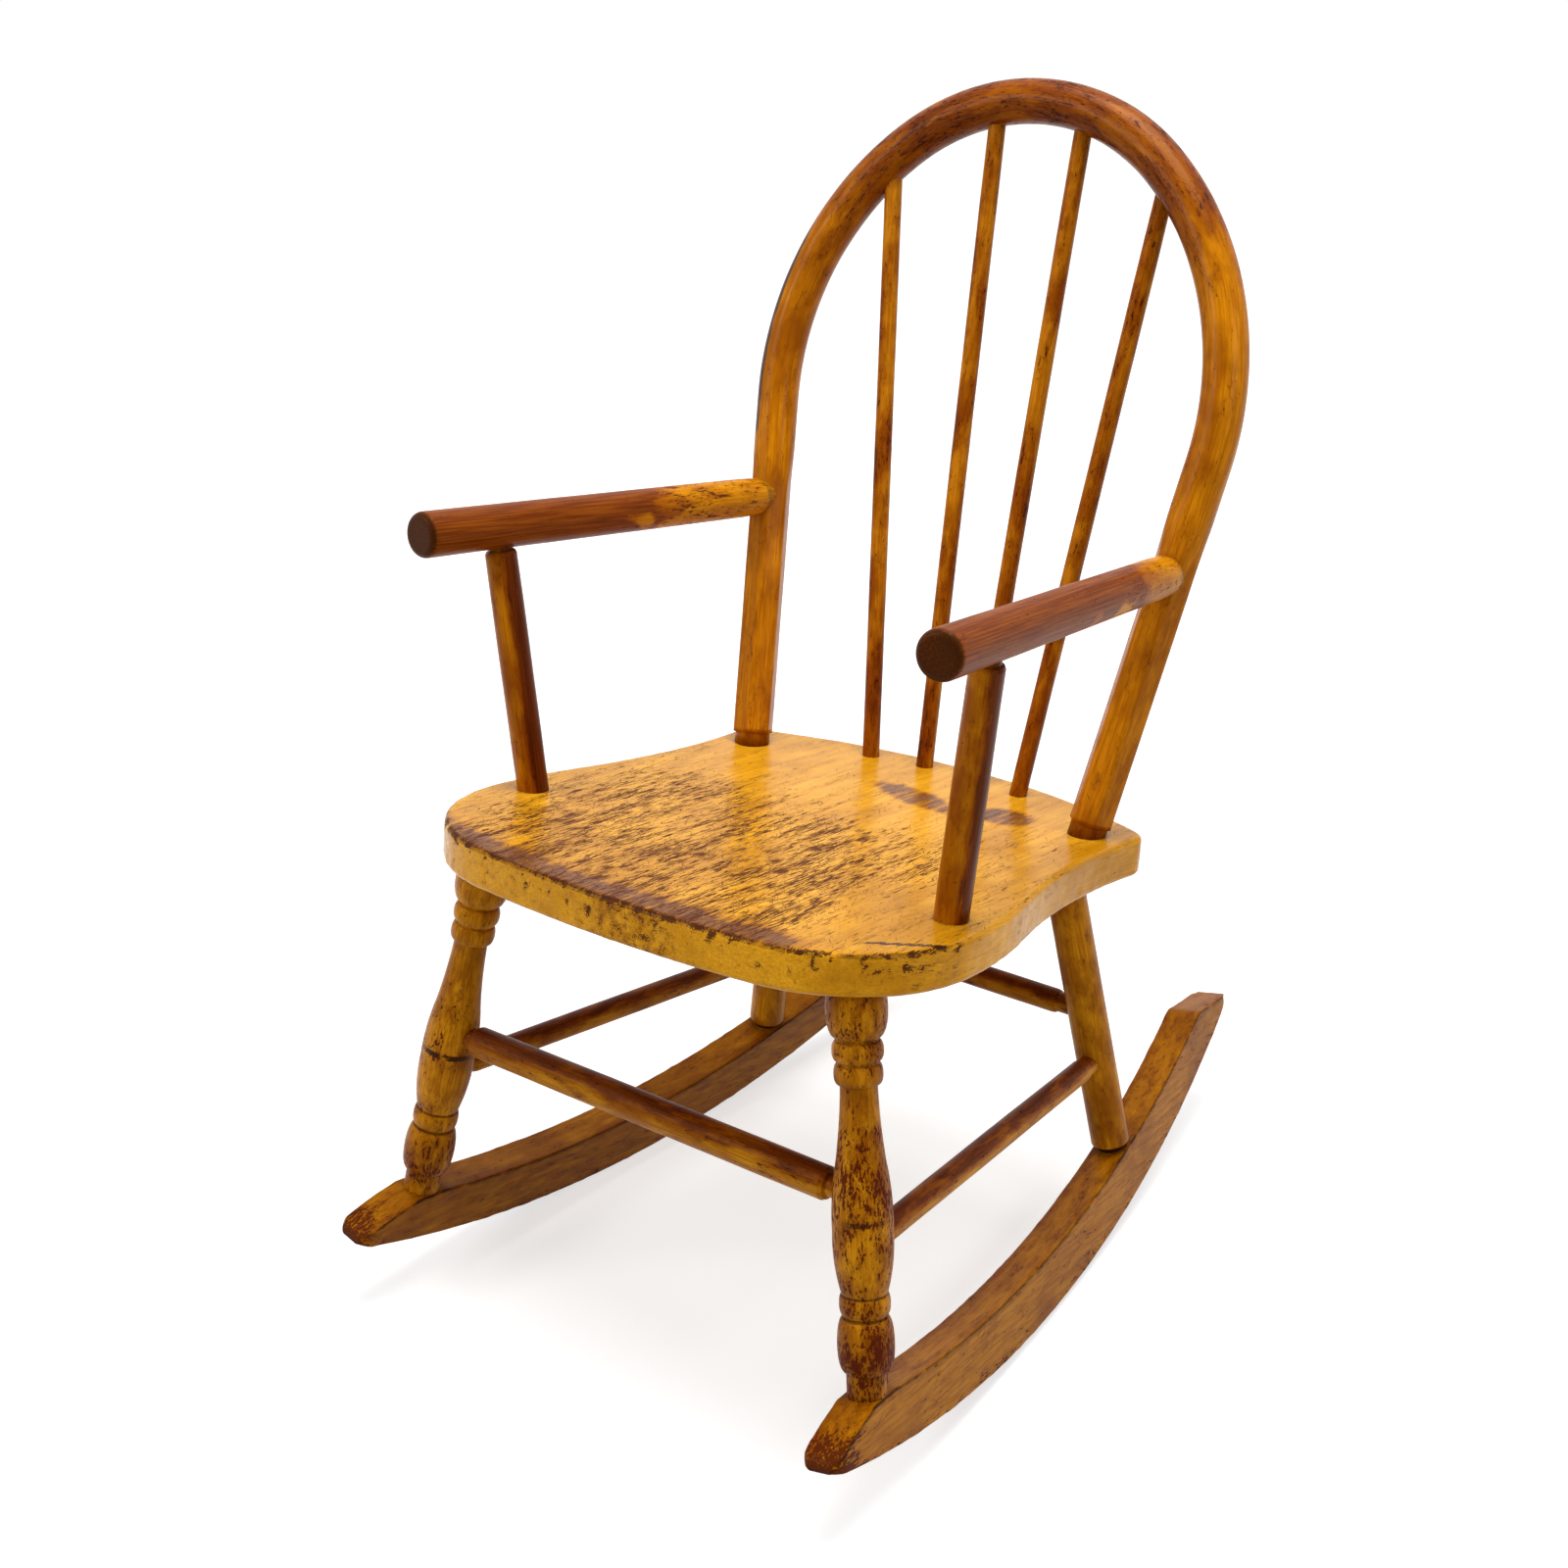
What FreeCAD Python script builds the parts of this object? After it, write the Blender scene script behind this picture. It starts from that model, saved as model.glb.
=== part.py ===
import FreeCAD, Part
import math
import os
import Sketcher

# A child's hoop back rocking chair in painted hardwood. The chair frame has X to the
# sitter's left, Y to the rear and Z up, with Z zero at the lowest point of the rockers.
# Every piece is built in that frame with the seat level. The whole chair is then tipped
# back to the angle at which it balances on its rockers, and set on the floor.

DRIVING_SIZES = (
    # seat plank
    ("seat_height", 248.5),
    ("seat_thickness", 21.0),
    ("seat_front_half_width", 141.0),
    ("seat_front_corner_forward", 138.0),
    ("seat_waist_half_width", 142.4),
    ("seat_waist_forward", 12.0),
    ("seat_rear_half_width", 133.5),
    ("seat_rear_corner_back", 123.0),
    ("seat_front_crown", 16.0),
    ("seat_side_swell", 8.6),
    ("seat_side_hollow", 6.6),
    ("seat_back_crown", 32.0),
    ("seat_front_corner_radius", 78.0),
    ("seat_rear_corner_radius", 13.0),
    ("seat_edge_radius", 3.0),
    # rockers, measured along each rocker from the front foot and up its leaning plane
    ("rocker_spread", 152.0),
    ("rocker_forward", 118.5),
    ("rocker_rise", 1.8),
    ("rocker_radius", 584.5),
    ("rocker_top_radius", 622.0),
    ("rocker_width", 20.5),
    ("rocker_depth", 29.9),
    ("rocker_low_point", 97.1),
    ("rocker_top_low_point", 87.3),
    ("rocker_nose_reach", 45.0),
    ("rocker_nose_undercut", 6.0),
    ("rocker_nose_rise", 7.16),
    ("rocker_nose_round", 3.0),
    ("rocker_nose_crown", 0.8),
    ("rocker_tail_reach", 150.0),
    ("rocker_tail_shoulder", 41.0),
    ("rocker_tail_rise", 11.13),
    ("rocker_tail_undercut", 11.0),
    ("rocker_edge_radius", 1.5),
    # where the legs stand on the rockers and enter the seat
    ("foot_spacing", 269.2),
    ("foot_flat_reach", 10.0),
    ("front_leg_spread", 113.5),
    ("front_leg_forward", 108.5),
    ("rear_leg_spread", 89.0),
    ("rear_leg_back", 113.0),
    # turned front legs
    ("leg_tenon_diameter", 18.0),
    ("leg_tenon_length", 17.0),
    ("foot_tenon_diameter", 13.0),
    ("foot_tenon_length", 14.0),
    ("foot_diameter", 19.0),
    ("foot_height", 11.5),
    ("foot_scribe", 4.0),
    ("lower_bulb_diameter", 26.6),
    ("lower_bulb_height", 26.0),
    ("lower_bulb_neck_diameter", 19.6),
    ("ring_diameter", 23.8),
    ("ring_height", 10.0),
    ("ring_round", 1.2),
    ("vase_base_diameter", 21.6),
    ("vase_diameter", 28.0),
    ("vase_belly_height", 29.0),
    ("vase_belly_swell", 1.1),
    ("vase_shoulder_diameter", 23.5),
    ("vase_shoulder_height", 32.0),
    ("vase_shoulder_swell", 0.9),
    ("vase_neck_hollow", 0.6),
    ("neck_diameter", 17.2),
    ("lower_bead_diameter", 22.6),
    ("lower_bead_height", 9.5),
    ("groove_diameter", 18.6),
    ("groove_height", 1.2),
    ("upper_bead_diameter", 23.8),
    ("upper_bead_height", 9.5),
    ("cap_diameter", 28.4),
    ("cap_height", 26.0),
    # plain rear legs
    ("rear_leg_diameter", 21.0),
    ("rear_leg_shoulder_height", 6.0),
    ("rear_foot_tenon_diameter", 14.0),
    ("rear_foot_gap", 3.2),
    # stretchers
    ("front_stretcher_height", 128.0),
    ("front_stretcher_diameter", 16.5),
    ("rear_stretcher_height", 139.5),
    ("rear_stretcher_diameter", 13.5),
    ("side_stretcher_front_height", 105.0),
    ("side_stretcher_rear_height", 110.5),
    ("side_stretcher_diameter", 12.8),
    ("stretcher_tenon_diameter", 11.0),
    ("stretcher_neck", 17.0),
    ("stretcher_shoulder_round", 2.5),
    # arm posts
    ("post_diameter", 16.5),
    ("post_base_spread", 130.0),
    ("post_base_forward", 59.5),
    ("post_tenon_depth", 14.0),
    ("post_top_forward", 75.0),
    ("post_top_tenon_diameter", 10.0),
    ("post_collar_round", 2.0),
    # arms
    ("arm_diameter", 23.0),
    ("arm_rear_diameter", 21.5),
    ("arm_tip_diameter", 16.0),
    ("arm_tip_length", 22.0),
    ("arm_front_spread", 151.0),
    ("arm_front_forward", 124.5),
    ("arm_height", 137.5),
    ("arm_end_round", 3.5),
    ("arm_tenon_diameter", 10.0),
    ("arm_tenon_length", 26.0),
    # bent hoop
    ("hoop_diameter", 23.2),
    ("hoop_foot_spread", 110.5),
    ("hoop_foot_back", 100.5),
    ("hoop_half_width", 136.0),
    ("hoop_spring_height", 215.0),
    ("hoop_rise", 151.5),
    ("hoop_crown_radius", 122.0),
    ("hoop_neck_diameter", 19.6),
    ("hoop_neck_height", 6.0),
    ("hoop_tenon_depth", 15.0),
    ("hoop_flats_height", 118.0),
    # spindles
    ("spindle_diameter", 9.5),
    ("inner_spindle_base_spread", 16.4),
    ("inner_spindle_base_back", 138.8),
    ("inner_spindle_top_spread_left", 27.3),
    ("inner_spindle_top_spread_right", 25.5),
    ("outer_spindle_base_spread", 48.8),
    ("outer_spindle_base_back", 132.4),
    ("outer_spindle_top_spread_left", 81.5),
    ("outer_spindle_top_spread_right", 85.5),
    ("spindle_tenon_depth", 14.0),
    # fits
    ("joint_clearance", 0.2),
    ("cut_overrun", 8.0),
)
HOOP_LEAN_DEGREES = 10.9
HOOP_FLATS_TURN_DEGREES = 7
HOOP_FLAT_COUNT = 6
ROCKER_TOE_DEGREES = 4.3
ROCKER_CANT_DEGREES = 11
BALANCE_STEP_COUNT = 40
LEFT_AND_RIGHT = (("left", 1), ("right", -1))
HALF_TURN = 180
QUARTER_TURN = 90
FULL_TURN = 360
TINY = 1e-4


class Size:
    """A size that keeps the expression it is bound to beside its present value."""

    def __init__(self, text, value):
        self.text = text
        self.value = value

    def __add__(self, other):
        return Size(f"({self.text} + {other.text})", self.value + other.value)

    def __sub__(self, other):
        return Size(f"({self.text} - {other.text})", self.value - other.value)

    def __neg__(self):
        return Size(f"(-{self.text})", -self.value)

    def __mul__(self, other):
        return Size(f"({self.text} * {other.text})", self.value * other.value)

    def __truediv__(self, other):
        return Size(f"({self.text} / {other.text})", self.value / other.value)

    def half(self):
        return self * ONE_HALF

    def root(self):
        return Size(f"sqrt({self.text})", math.sqrt(self.value))


def fixed(value):
    """A size worked out from places in space, held as a plain number."""
    return Size(repr(float(value)), float(value))


ONE_HALF = fixed(0.5)
NOTHING = fixed(0)
HALF_TURN_SWEEP = Size(f"{HALF_TURN} deg", HALF_TURN)


def make_sheet(doc):
    """Write the driving sizes into the spreadsheet and return them by name."""
    sheet = doc.addObject("Spreadsheet::Sheet", "Sizes")
    sizes = {}
    for row, (name, value) in enumerate(DRIVING_SIZES, start=1):
        sheet.set(f"A{row}", name)
        sheet.set(f"B{row}", str(value))
        sheet.setAlias(f"B{row}", name)
        sizes[name] = Size(f"Sizes.{name}", value)
    doc.recompute()
    return sizes


def vector(x, y, z):
    return FreeCAD.Vector(x, y, z)


UP = vector(0, 0, 1)
ACROSS = vector(1, 0, 0)


def along(start, end):
    """Unit vector from one point towards another."""
    return (end - start).normalize()


def placed_along(start, direction):
    """Placement with its origin at start and its Z axis along direction."""
    return FreeCAD.Placement(start, FreeCAD.Rotation(UP, direction))


def bind(feature, name, size):
    feature.setExpression(name, size.text)


def new_body(doc, name, home):
    """A body for one wooden piece, at its place in the chair frame."""
    body = doc.addObject("PartDesign::Body", name)
    body.Label = name
    body.Placement = home
    return body


def new_sketch(body, name, plane_role):
    plane = next(item for item in body.Origin.OriginFeatures if item.Role == plane_role)
    sketch = body.newObject("Sketcher::SketchObject", name)
    sketch.AttachmentSupport = [(plane, "")]
    sketch.MapMode = "FlatFace"
    return sketch


def hold(sketch, kind, elements, size):
    """Add one dimension to a sketch and bind it to its size."""
    index = sketch.addConstraint(Sketcher.Constraint(kind, *elements, size.value))
    if "Sizes" in size.text:
        sketch.setExpression(f"Constraints[{index}]", size.text)


def hold_coordinate(sketch, kind, axis, element, size):
    """Fix one coordinate of a sketch point, or lay the point on the axis where it is zero."""
    if size.value == 0:
        sketch.addConstraint(Sketcher.Constraint("PointOnObject", *element, axis))
    elif size.value > 0:
        hold(sketch, kind, (-1, 1, *element), size)
    else:
        hold(sketch, kind, (*element, -1, 1), -size)


def arc_between(start, end, swell):
    """Arc that swells to the right of the way from start to end, or to the left if negative."""
    chord = end - start
    to_right = vector(chord.y, -chord.x, 0).normalize()
    radius = (chord.Length ** 2 / 4 + swell ** 2) / (2 * abs(swell))
    side = math.copysign(1, swell)
    centre = (start + end) * 0.5 + to_right * (swell - side * radius)
    first, last = (start, end) if side > 0 else (end, start)
    angles = [math.atan2(point.y - centre.y, point.x - centre.x) for point in (first, last)]
    return Part.ArcOfCircle(Part.Circle(centre, UP, radius), *angles)


def arc_radius(start, end, swell):
    """Radius of the arc on the chord between two corners, from its swell."""
    run = end[0] - start[0]
    rise = end[1] - start[1]
    quarter_chord_squared = (run * run + rise * rise) * ONE_HALF * ONE_HALF
    return (quarter_chord_squared + swell * swell) / (swell + swell)


def draw_outline(sketch, corners):
    """Draw a closed outline through its corners.

    Each corner is its x, its y, and the swell of the side that follows it: None for a
    straight side, else the side's rise as an arc to the right (positive) or to the left.
    """
    points = [vector(x.value, y.value, 0) for x, y, swell in corners]
    starts = []
    ends = []
    for index, (x, y, swell) in enumerate(corners):
        start = points[index]
        following = (index + 1) % len(corners)
        end = points[following]
        if swell is None:
            piece = sketch.addGeometry(Part.LineSegment(start, end))
            starts.append((piece, 1))
            ends.append((piece, 2))
            continue
        piece = sketch.addGeometry(arc_between(start, end, swell.value))
        starts.append((piece, 1 if swell.value > 0 else 2))
        ends.append((piece, 2 if swell.value > 0 else 1))
        size = swell if swell.value > 0 else -swell
        hold(sketch, "Radius", (piece,), arc_radius(corners[index], corners[following], size))
    for index, (x, y, swell) in enumerate(corners):
        sketch.addConstraint(Sketcher.Constraint("Coincident", *ends[index - 1], *starts[index]))
        hold_coordinate(sketch, "DistanceX", -2, starts[index], x)
        hold_coordinate(sketch, "DistanceY", -1, starts[index], y)


def turn(body, name, profile):
    """Turn a piece on the lathe: a profile of radius, height and swell, round the Z axis."""
    first_height = profile[0][1]
    last_height = profile[-1][1]
    corners = [(NOTHING, first_height, None), *profile, (NOTHING, last_height, None)]
    sketch = new_sketch(body, f"{name}_profile", "XZ_Plane")
    draw_outline(sketch, corners)
    turned = body.newObject("PartDesign::Revolution", f"{name}_turned")
    turned.Profile = sketch
    turned.ReferenceAxis = (sketch, ["V_Axis"])
    turned.Angle = FULL_TURN
    return turned


def add_rod(body, name, place, diameter, length, kind="Additive"):
    """Add a round rod to a body, or cut one out of it, at a place in the body's own frame."""
    rod = body.newObject(f"PartDesign::{kind}Cylinder", name)
    bind(rod, "Radius", diameter.half())
    bind(rod, "Height", length)
    rod.Placement = place
    return rod


def bore_socket(body, name, tip, mouth, diameter, depth, sizes):
    """Bore a round socket for a tenon whose end is at tip and which leaves towards mouth."""
    to_body = body.Placement.inverse()
    tip_inside = to_body.multVec(tip)
    mouth_inside = to_body.multVec(mouth)
    bore = diameter + sizes["joint_clearance"] + sizes["joint_clearance"]
    place = placed_along(tip_inside, along(tip_inside, mouth_inside))
    add_rod(body, name, place, bore, depth + sizes["cut_overrun"], "Subtractive")


def between(low, high, height):
    """Point at a height on the straight line through two points."""
    return low + (high - low) * ((height - low.z) / (high.z - low.z))


class Layout:
    """Places in the chair frame that several pieces share, worked out from the sizes."""

    def __init__(self, sizes):
        self.sizes = sizes
        self.seat_top = sizes["seat_height"].value
        self.seat_underside = self.seat_top - sizes["seat_thickness"].value

    def rocker_place(self, side):
        """A rocker's own frame: X back along it from the front foot, Z up its leaning plane."""
        toe = FreeCAD.Rotation(UP, QUARTER_TURN + side * ROCKER_TOE_DEGREES)
        cant = FreeCAD.Rotation(ACROSS, -side * ROCKER_CANT_DEGREES)
        spread = side * self.sizes["rocker_spread"].value
        forward = -self.sizes["rocker_forward"].value
        start = vector(spread, forward, self.sizes["rocker_rise"].value)
        return FreeCAD.Placement(start, toe.multiply(cant))

    def rocker_bottom(self, reach):
        """Height of a rocker's underside at a distance behind the front foot."""
        radius = self.sizes["rocker_radius"]
        offset = reach - self.sizes["rocker_low_point"]
        return radius - (radius * radius - offset * offset).root()

    def rocker_top(self, reach):
        """Height of a rocker's upper side at a distance behind the front foot."""
        radius = self.sizes["rocker_top_radius"]
        offset = reach - self.sizes["rocker_top_low_point"]
        arch = (radius * radius - offset * offset).root()
        return radius + self.sizes["rocker_depth"] - arch

    def front_foot(self, side):
        """Where the front leg stands, on the flat of the rocker's upper side."""
        height = self.rocker_top(self.sizes["foot_flat_reach"]).value
        return self.rocker_place(side).multVec(vector(0, 0, height))

    def rear_foot(self, side):
        reach = self.sizes["foot_spacing"]
        height = self.rocker_top(reach).value
        return self.rocker_place(side).multVec(vector(reach.value, 0, height))

    def front_leg_top(self, side):
        forward = -self.sizes["front_leg_forward"].value
        return vector(side * self.sizes["front_leg_spread"].value, forward, self.seat_underside)

    def rear_leg_top(self, side):
        back = self.sizes["rear_leg_back"].value
        return vector(side * self.sizes["rear_leg_spread"].value, back, self.seat_underside)

    def front_leg_at(self, side, height):
        return between(self.front_foot(side), self.front_leg_top(side), height)

    def rear_leg_at(self, side, height):
        return between(self.rear_foot(side), self.rear_leg_top(side), height)

    def hoop_place(self):
        """The hoop's own frame: X across, Z up along the leaning plane of the hoop."""
        start = vector(0, self.sizes["hoop_foot_back"].value, self.seat_top)
        return FreeCAD.Placement(start, FreeCAD.Rotation(ACROSS, -HOOP_LEAN_DEGREES))

    def hoop_shoulder_radius(self):
        """Radius of the bow's side arcs, tangent to the crown arc and upright at the spring."""
        width = self.sizes["hoop_half_width"]
        crown = self.sizes["hoop_crown_radius"]
        rise = self.sizes["hoop_rise"] - crown
        square = width * width + rise * rise - crown * crown
        spare = width - crown
        return square / (spare + spare)

    def hoop_shoulder_angle(self):
        """Angle swept by each side arc of the bow, in degrees."""
        rise = self.sizes["hoop_rise"] - self.sizes["hoop_crown_radius"]
        inset = self.hoop_shoulder_radius() - self.sizes["hoop_half_width"]
        angle = math.degrees(math.atan2(rise.value, inset.value))
        return Size(f"atan2({rise.text}; {inset.text})", angle)

    def hoop_leg_reach(self):
        """How far the foot of the hoop lies across and below the centre of its side arc."""
        centre = self.sizes["hoop_half_width"] - self.hoop_shoulder_radius()
        across = self.sizes["hoop_foot_spread"] - centre
        down = self.sizes["hoop_spring_height"] - self.sizes["hoop_neck_height"]
        return across, down

    def hoop_leg_lean(self):
        """Angle between the hoop's straight leg and the upright, which its side arc meets."""
        across, down = self.hoop_leg_reach()
        shoulder = self.hoop_shoulder_radius()
        distance = (across * across + down * down).root()
        meet = math.asin(shoulder.value / distance.value)
        angle = math.degrees(meet - math.atan2(across.value, down.value))
        text = f"(asin({shoulder.text} / {distance.text}) - atan2({across.text}; {down.text}))"
        return Size(text, angle)

    def hoop_leg_length(self):
        """Length of the hoop's straight leg, from its foot to where the side arc begins."""
        across, down = self.hoop_leg_reach()
        shoulder = self.hoop_shoulder_radius()
        return (across * across + down * down - shoulder * shoulder).root()

    def hoop_leg_point(self, side, height):
        """Centre of the hoop's straight leg at a height in the hoop's own frame."""
        climb = height - self.sizes["hoop_neck_height"].value
        outward = climb * math.tan(math.radians(self.hoop_leg_lean().value))
        return vector(side * (self.sizes["hoop_foot_spread"].value + outward), 0, height)

    def hoop_crown_point(self, spread):
        """Centre of the rod over the bow, at a distance from the middle of the hoop."""
        crown = self.sizes["hoop_crown_radius"].value
        top = self.sizes["hoop_spring_height"].value + self.sizes["hoop_rise"].value
        centre_height = top - crown
        return vector(spread, 0, centre_height + math.sqrt(crown ** 2 - spread ** 2))

    def arm_front(self, side):
        height = self.seat_top + self.sizes["arm_height"].value
        forward = -self.sizes["arm_front_forward"].value
        return vector(side * self.sizes["arm_front_spread"].value, forward, height)

    def arm_rear(self, side):
        """Where the arm's axis meets the middle of the hoop's rod."""
        lean = math.radians(HOOP_LEAN_DEGREES)
        height = self.sizes["arm_height"].value / math.cos(lean)
        return self.hoop_place().multVec(self.hoop_leg_point(side, height))

    def post_base(self, side):
        forward = -self.sizes["post_base_forward"].value
        return vector(side * self.sizes["post_base_spread"].value, forward, self.seat_top)

    def post_top(self, side):
        """Where the post's axis meets the arm's axis."""
        front = self.arm_front(side)
        rear = self.arm_rear(side)
        share = (-self.sizes["post_top_forward"].value - front.y) / (rear.y - front.y)
        return front + (rear - front) * share

    def spindle_base(self, which, side):
        spread = side * self.sizes[f"{which}_spindle_base_spread"].value
        return vector(spread, self.sizes[f"{which}_spindle_base_back"].value, self.seat_top)

    def spindle_top(self, which, side):
        word = "left" if side > 0 else "right"
        spread = side * self.sizes[f"{which}_spindle_top_spread_{word}"].value
        return self.hoop_place().multVec(self.hoop_crown_point(spread))


def reach_past(start, end, distance):
    """The point that lies a distance beyond end on the way from start."""
    return end + along(start, end) * distance


def build_seat(doc, sizes, layout):
    """The plank seat: a bowed outline, rounded corners and edges, and blind round sockets."""
    home = FreeCAD.Placement(vector(0, 0, layout.seat_underside), FreeCAD.Rotation())
    body = new_body(doc, "seat", home)
    front_x = sizes["seat_front_half_width"]
    front_y = -sizes["seat_front_corner_forward"]
    waist_x = sizes["seat_waist_half_width"]
    waist_y = -sizes["seat_waist_forward"]
    rear_x = sizes["seat_rear_half_width"]
    rear_y = sizes["seat_rear_corner_back"]
    sketch = new_sketch(body, "seat_outline", "XY_Plane")
    draw_outline(sketch, [
        (-front_x, front_y, sizes["seat_front_crown"]),
        (front_x, front_y, sizes["seat_side_swell"]),
        (waist_x, waist_y, -sizes["seat_side_hollow"]),
        (rear_x, rear_y, sizes["seat_back_crown"]),
        (-rear_x, rear_y, -sizes["seat_side_hollow"]),
        (-waist_x, waist_y, sizes["seat_side_swell"]),
    ])
    plank = body.newObject("PartDesign::Pad", "seat_plank")
    plank.Profile = sketch
    bind(plank, "Length", sizes["seat_thickness"])
    doc.recompute()
    round_corners(doc, body, plank, "front", front_x, front_y, sizes["seat_front_corner_radius"])
    round_corners(doc, body, body.Tip, "rear", rear_x, rear_y, sizes["seat_rear_corner_radius"])
    cornered = body.Tip
    softened = body.newObject("PartDesign::Fillet", "seat_soft_edges")
    softened.Base = (cornered, flat_rims(cornered.Shape))
    bind(softened, "Radius", sizes["seat_edge_radius"])
    doc.recompute()
    bore_seat_sockets(body, sizes, layout)
    return body


def round_corners(doc, body, base, name, half_width, place, radius):
    """Round the pair of upright corners of the plank that stand at one place along it."""
    corners = []
    for index, edge in enumerate(base.Shape.Edges, start=1):
        start = edge.Vertexes[0].Point
        end = edge.Vertexes[-1].Point
        upright = math.isclose(start.x, end.x, abs_tol=TINY) and abs(end.z - start.z) > TINY
        here = math.isclose(abs(start.x), half_width.value, abs_tol=TINY)
        if upright and here and math.isclose(start.y, place.value, abs_tol=TINY):
            corners.append(f"Edge{index}")
    rounded = body.newObject("PartDesign::Fillet", f"seat_{name}_corners")
    rounded.Base = (base, corners)
    bind(rounded, "Radius", radius)
    doc.recompute()


def flat_rims(shape):
    """Names of the edges round the top and the underside of a plank."""
    levels = [vertex.Point.z for vertex in shape.Vertexes]
    rims = []
    for index, edge in enumerate(shape.Edges, start=1):
        heights = [vertex.Point.z for vertex in edge.Vertexes]
        for level in (min(levels), max(levels)):
            if all(math.isclose(height, level, abs_tol=TINY) for height in heights):
                rims.append(f"Edge{index}")
    return rims


def bore_seat_sockets(body, sizes, layout):
    """Sockets for the legs from below, and for the posts, hoop and spindles from above."""
    for word, side in LEFT_AND_RIGHT:
        depth = sizes["leg_tenon_length"]
        diameter = sizes["leg_tenon_diameter"]
        for which, foot, top in (
            ("front", layout.front_foot(side), layout.front_leg_top(side)),
            ("rear", layout.rear_foot(side), layout.rear_leg_top(side)),
        ):
            tip = reach_past(foot, top, depth.value)
            bore_socket(body, f"seat_{which}_leg_{word}", tip, foot, diameter, depth, sizes)
        depth = sizes["post_tenon_depth"]
        base = layout.post_base(side)
        top = layout.post_top(side)
        tip = reach_past(top, base, depth.value)
        bore_socket(body, f"seat_post_{word}", tip, top, sizes["post_diameter"], depth, sizes)
        foot, direction = hoop_foot(sizes, layout, side)
        depth = sizes["hoop_tenon_depth"] + sizes["hoop_neck_height"]
        tip = foot + direction * depth.value
        bore_socket(body, f"seat_hoop_{word}", tip, foot, sizes["hoop_neck_diameter"], depth, sizes)
        for which in ("inner", "outer"):
            base = layout.spindle_base(which, side)
            top = layout.spindle_top(which, side)
            depth = sizes["spindle_tenon_depth"]
            tip = reach_past(top, base, depth.value)
            name = f"seat_{which}_spindle_{word}"
            bore_socket(body, name, tip, top, sizes["spindle_diameter"], depth, sizes)


def build_rocker(doc, sizes, layout, word, side):
    """A sawn rocker, leaning with the legs: two long arcs, a worn nose and a bevelled tail."""
    body = new_body(doc, f"rocker_{word}", layout.rocker_place(side))
    nose = -sizes["rocker_nose_reach"]
    nose_high = nose + sizes["rocker_nose_undercut"]
    flat = sizes["foot_flat_reach"]
    flat_height = layout.rocker_top(flat)
    tail = sizes["foot_spacing"] + sizes["rocker_tail_reach"]
    tail_low = tail - sizes["rocker_tail_undercut"]
    tail_high = tail - sizes["rocker_tail_shoulder"]
    nose_low_height = layout.rocker_bottom(nose)
    tail_low_height = layout.rocker_bottom(tail_low)
    bottom_swell = arc_swell(nose, tail_low, layout.rocker_bottom, sizes["rocker_radius"])
    top_swell = arc_swell(flat, tail_high, layout.rocker_top, sizes["rocker_top_radius"])
    sketch = new_sketch(body, f"rocker_{word}_outline", "XZ_Plane")
    draw_outline(sketch, [
        (nose, nose_low_height, bottom_swell),
        (tail_low, tail_low_height, None),
        (tail, tail_low_height + sizes["rocker_tail_rise"], None),
        (tail_high, layout.rocker_top(tail_high), -top_swell),
        (flat, flat_height, None),
        (-flat, flat_height, sizes["rocker_nose_crown"]),
        (nose_high, nose_low_height + sizes["rocker_nose_rise"], sizes["rocker_nose_round"]),
    ])
    blank = body.newObject("PartDesign::Pad", f"rocker_{word}_blank")
    blank.Profile = sketch
    blank.SideType = "Symmetric"
    bind(blank, "Length", sizes["rocker_width"])
    doc.recompute()
    softened = body.newObject("PartDesign::Fillet", f"rocker_{word}_soft_edges")
    softened.Base = (blank, upper_edges(blank.Shape, sizes["foot_spacing"], sizes["rocker_depth"]))
    bind(softened, "Radius", sizes["rocker_edge_radius"])
    doc.recompute()
    for which, diameter, foot, top in (
        ("front", sizes["foot_tenon_diameter"], layout.front_foot(side), layout.front_leg_top(side)),
        ("rear", sizes["rear_foot_tenon_diameter"], layout.rear_foot(side), layout.rear_leg_top(side)),
    ):
        tip = reach_past(top, foot, sizes["foot_tenon_length"].value)
        name = f"rocker_{word}_{which}_socket"
        bore_socket(body, name, tip, top, diameter, sizes["foot_tenon_length"], sizes)
    return body


def arc_swell(start, end, height_at, radius):
    """Swell of the arc of a known radius between two places on a rocker's edge."""
    run = end - start
    rise = height_at(end) - height_at(start)
    half_chord_squared = (run * run + rise * rise) * ONE_HALF * ONE_HALF
    return radius - (radius * radius - half_chord_squared).root()


def upper_edges(shape, least, depth):
    """Names of the edges that run the length of a rocker along its upper side."""
    edges = []
    for index, edge in enumerate(shape.Edges, start=1):
        if edge.Length > least.value and edge.BoundBox.ZMin > depth.half().value:
            edges.append(f"Edge{index}")
    return edges


def stack(start, rises):
    """Heights that climb from a start by one rise after another."""
    heights = [start]
    for rise in rises:
        heights.append(heights[-1] + rise)
    return heights


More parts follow.
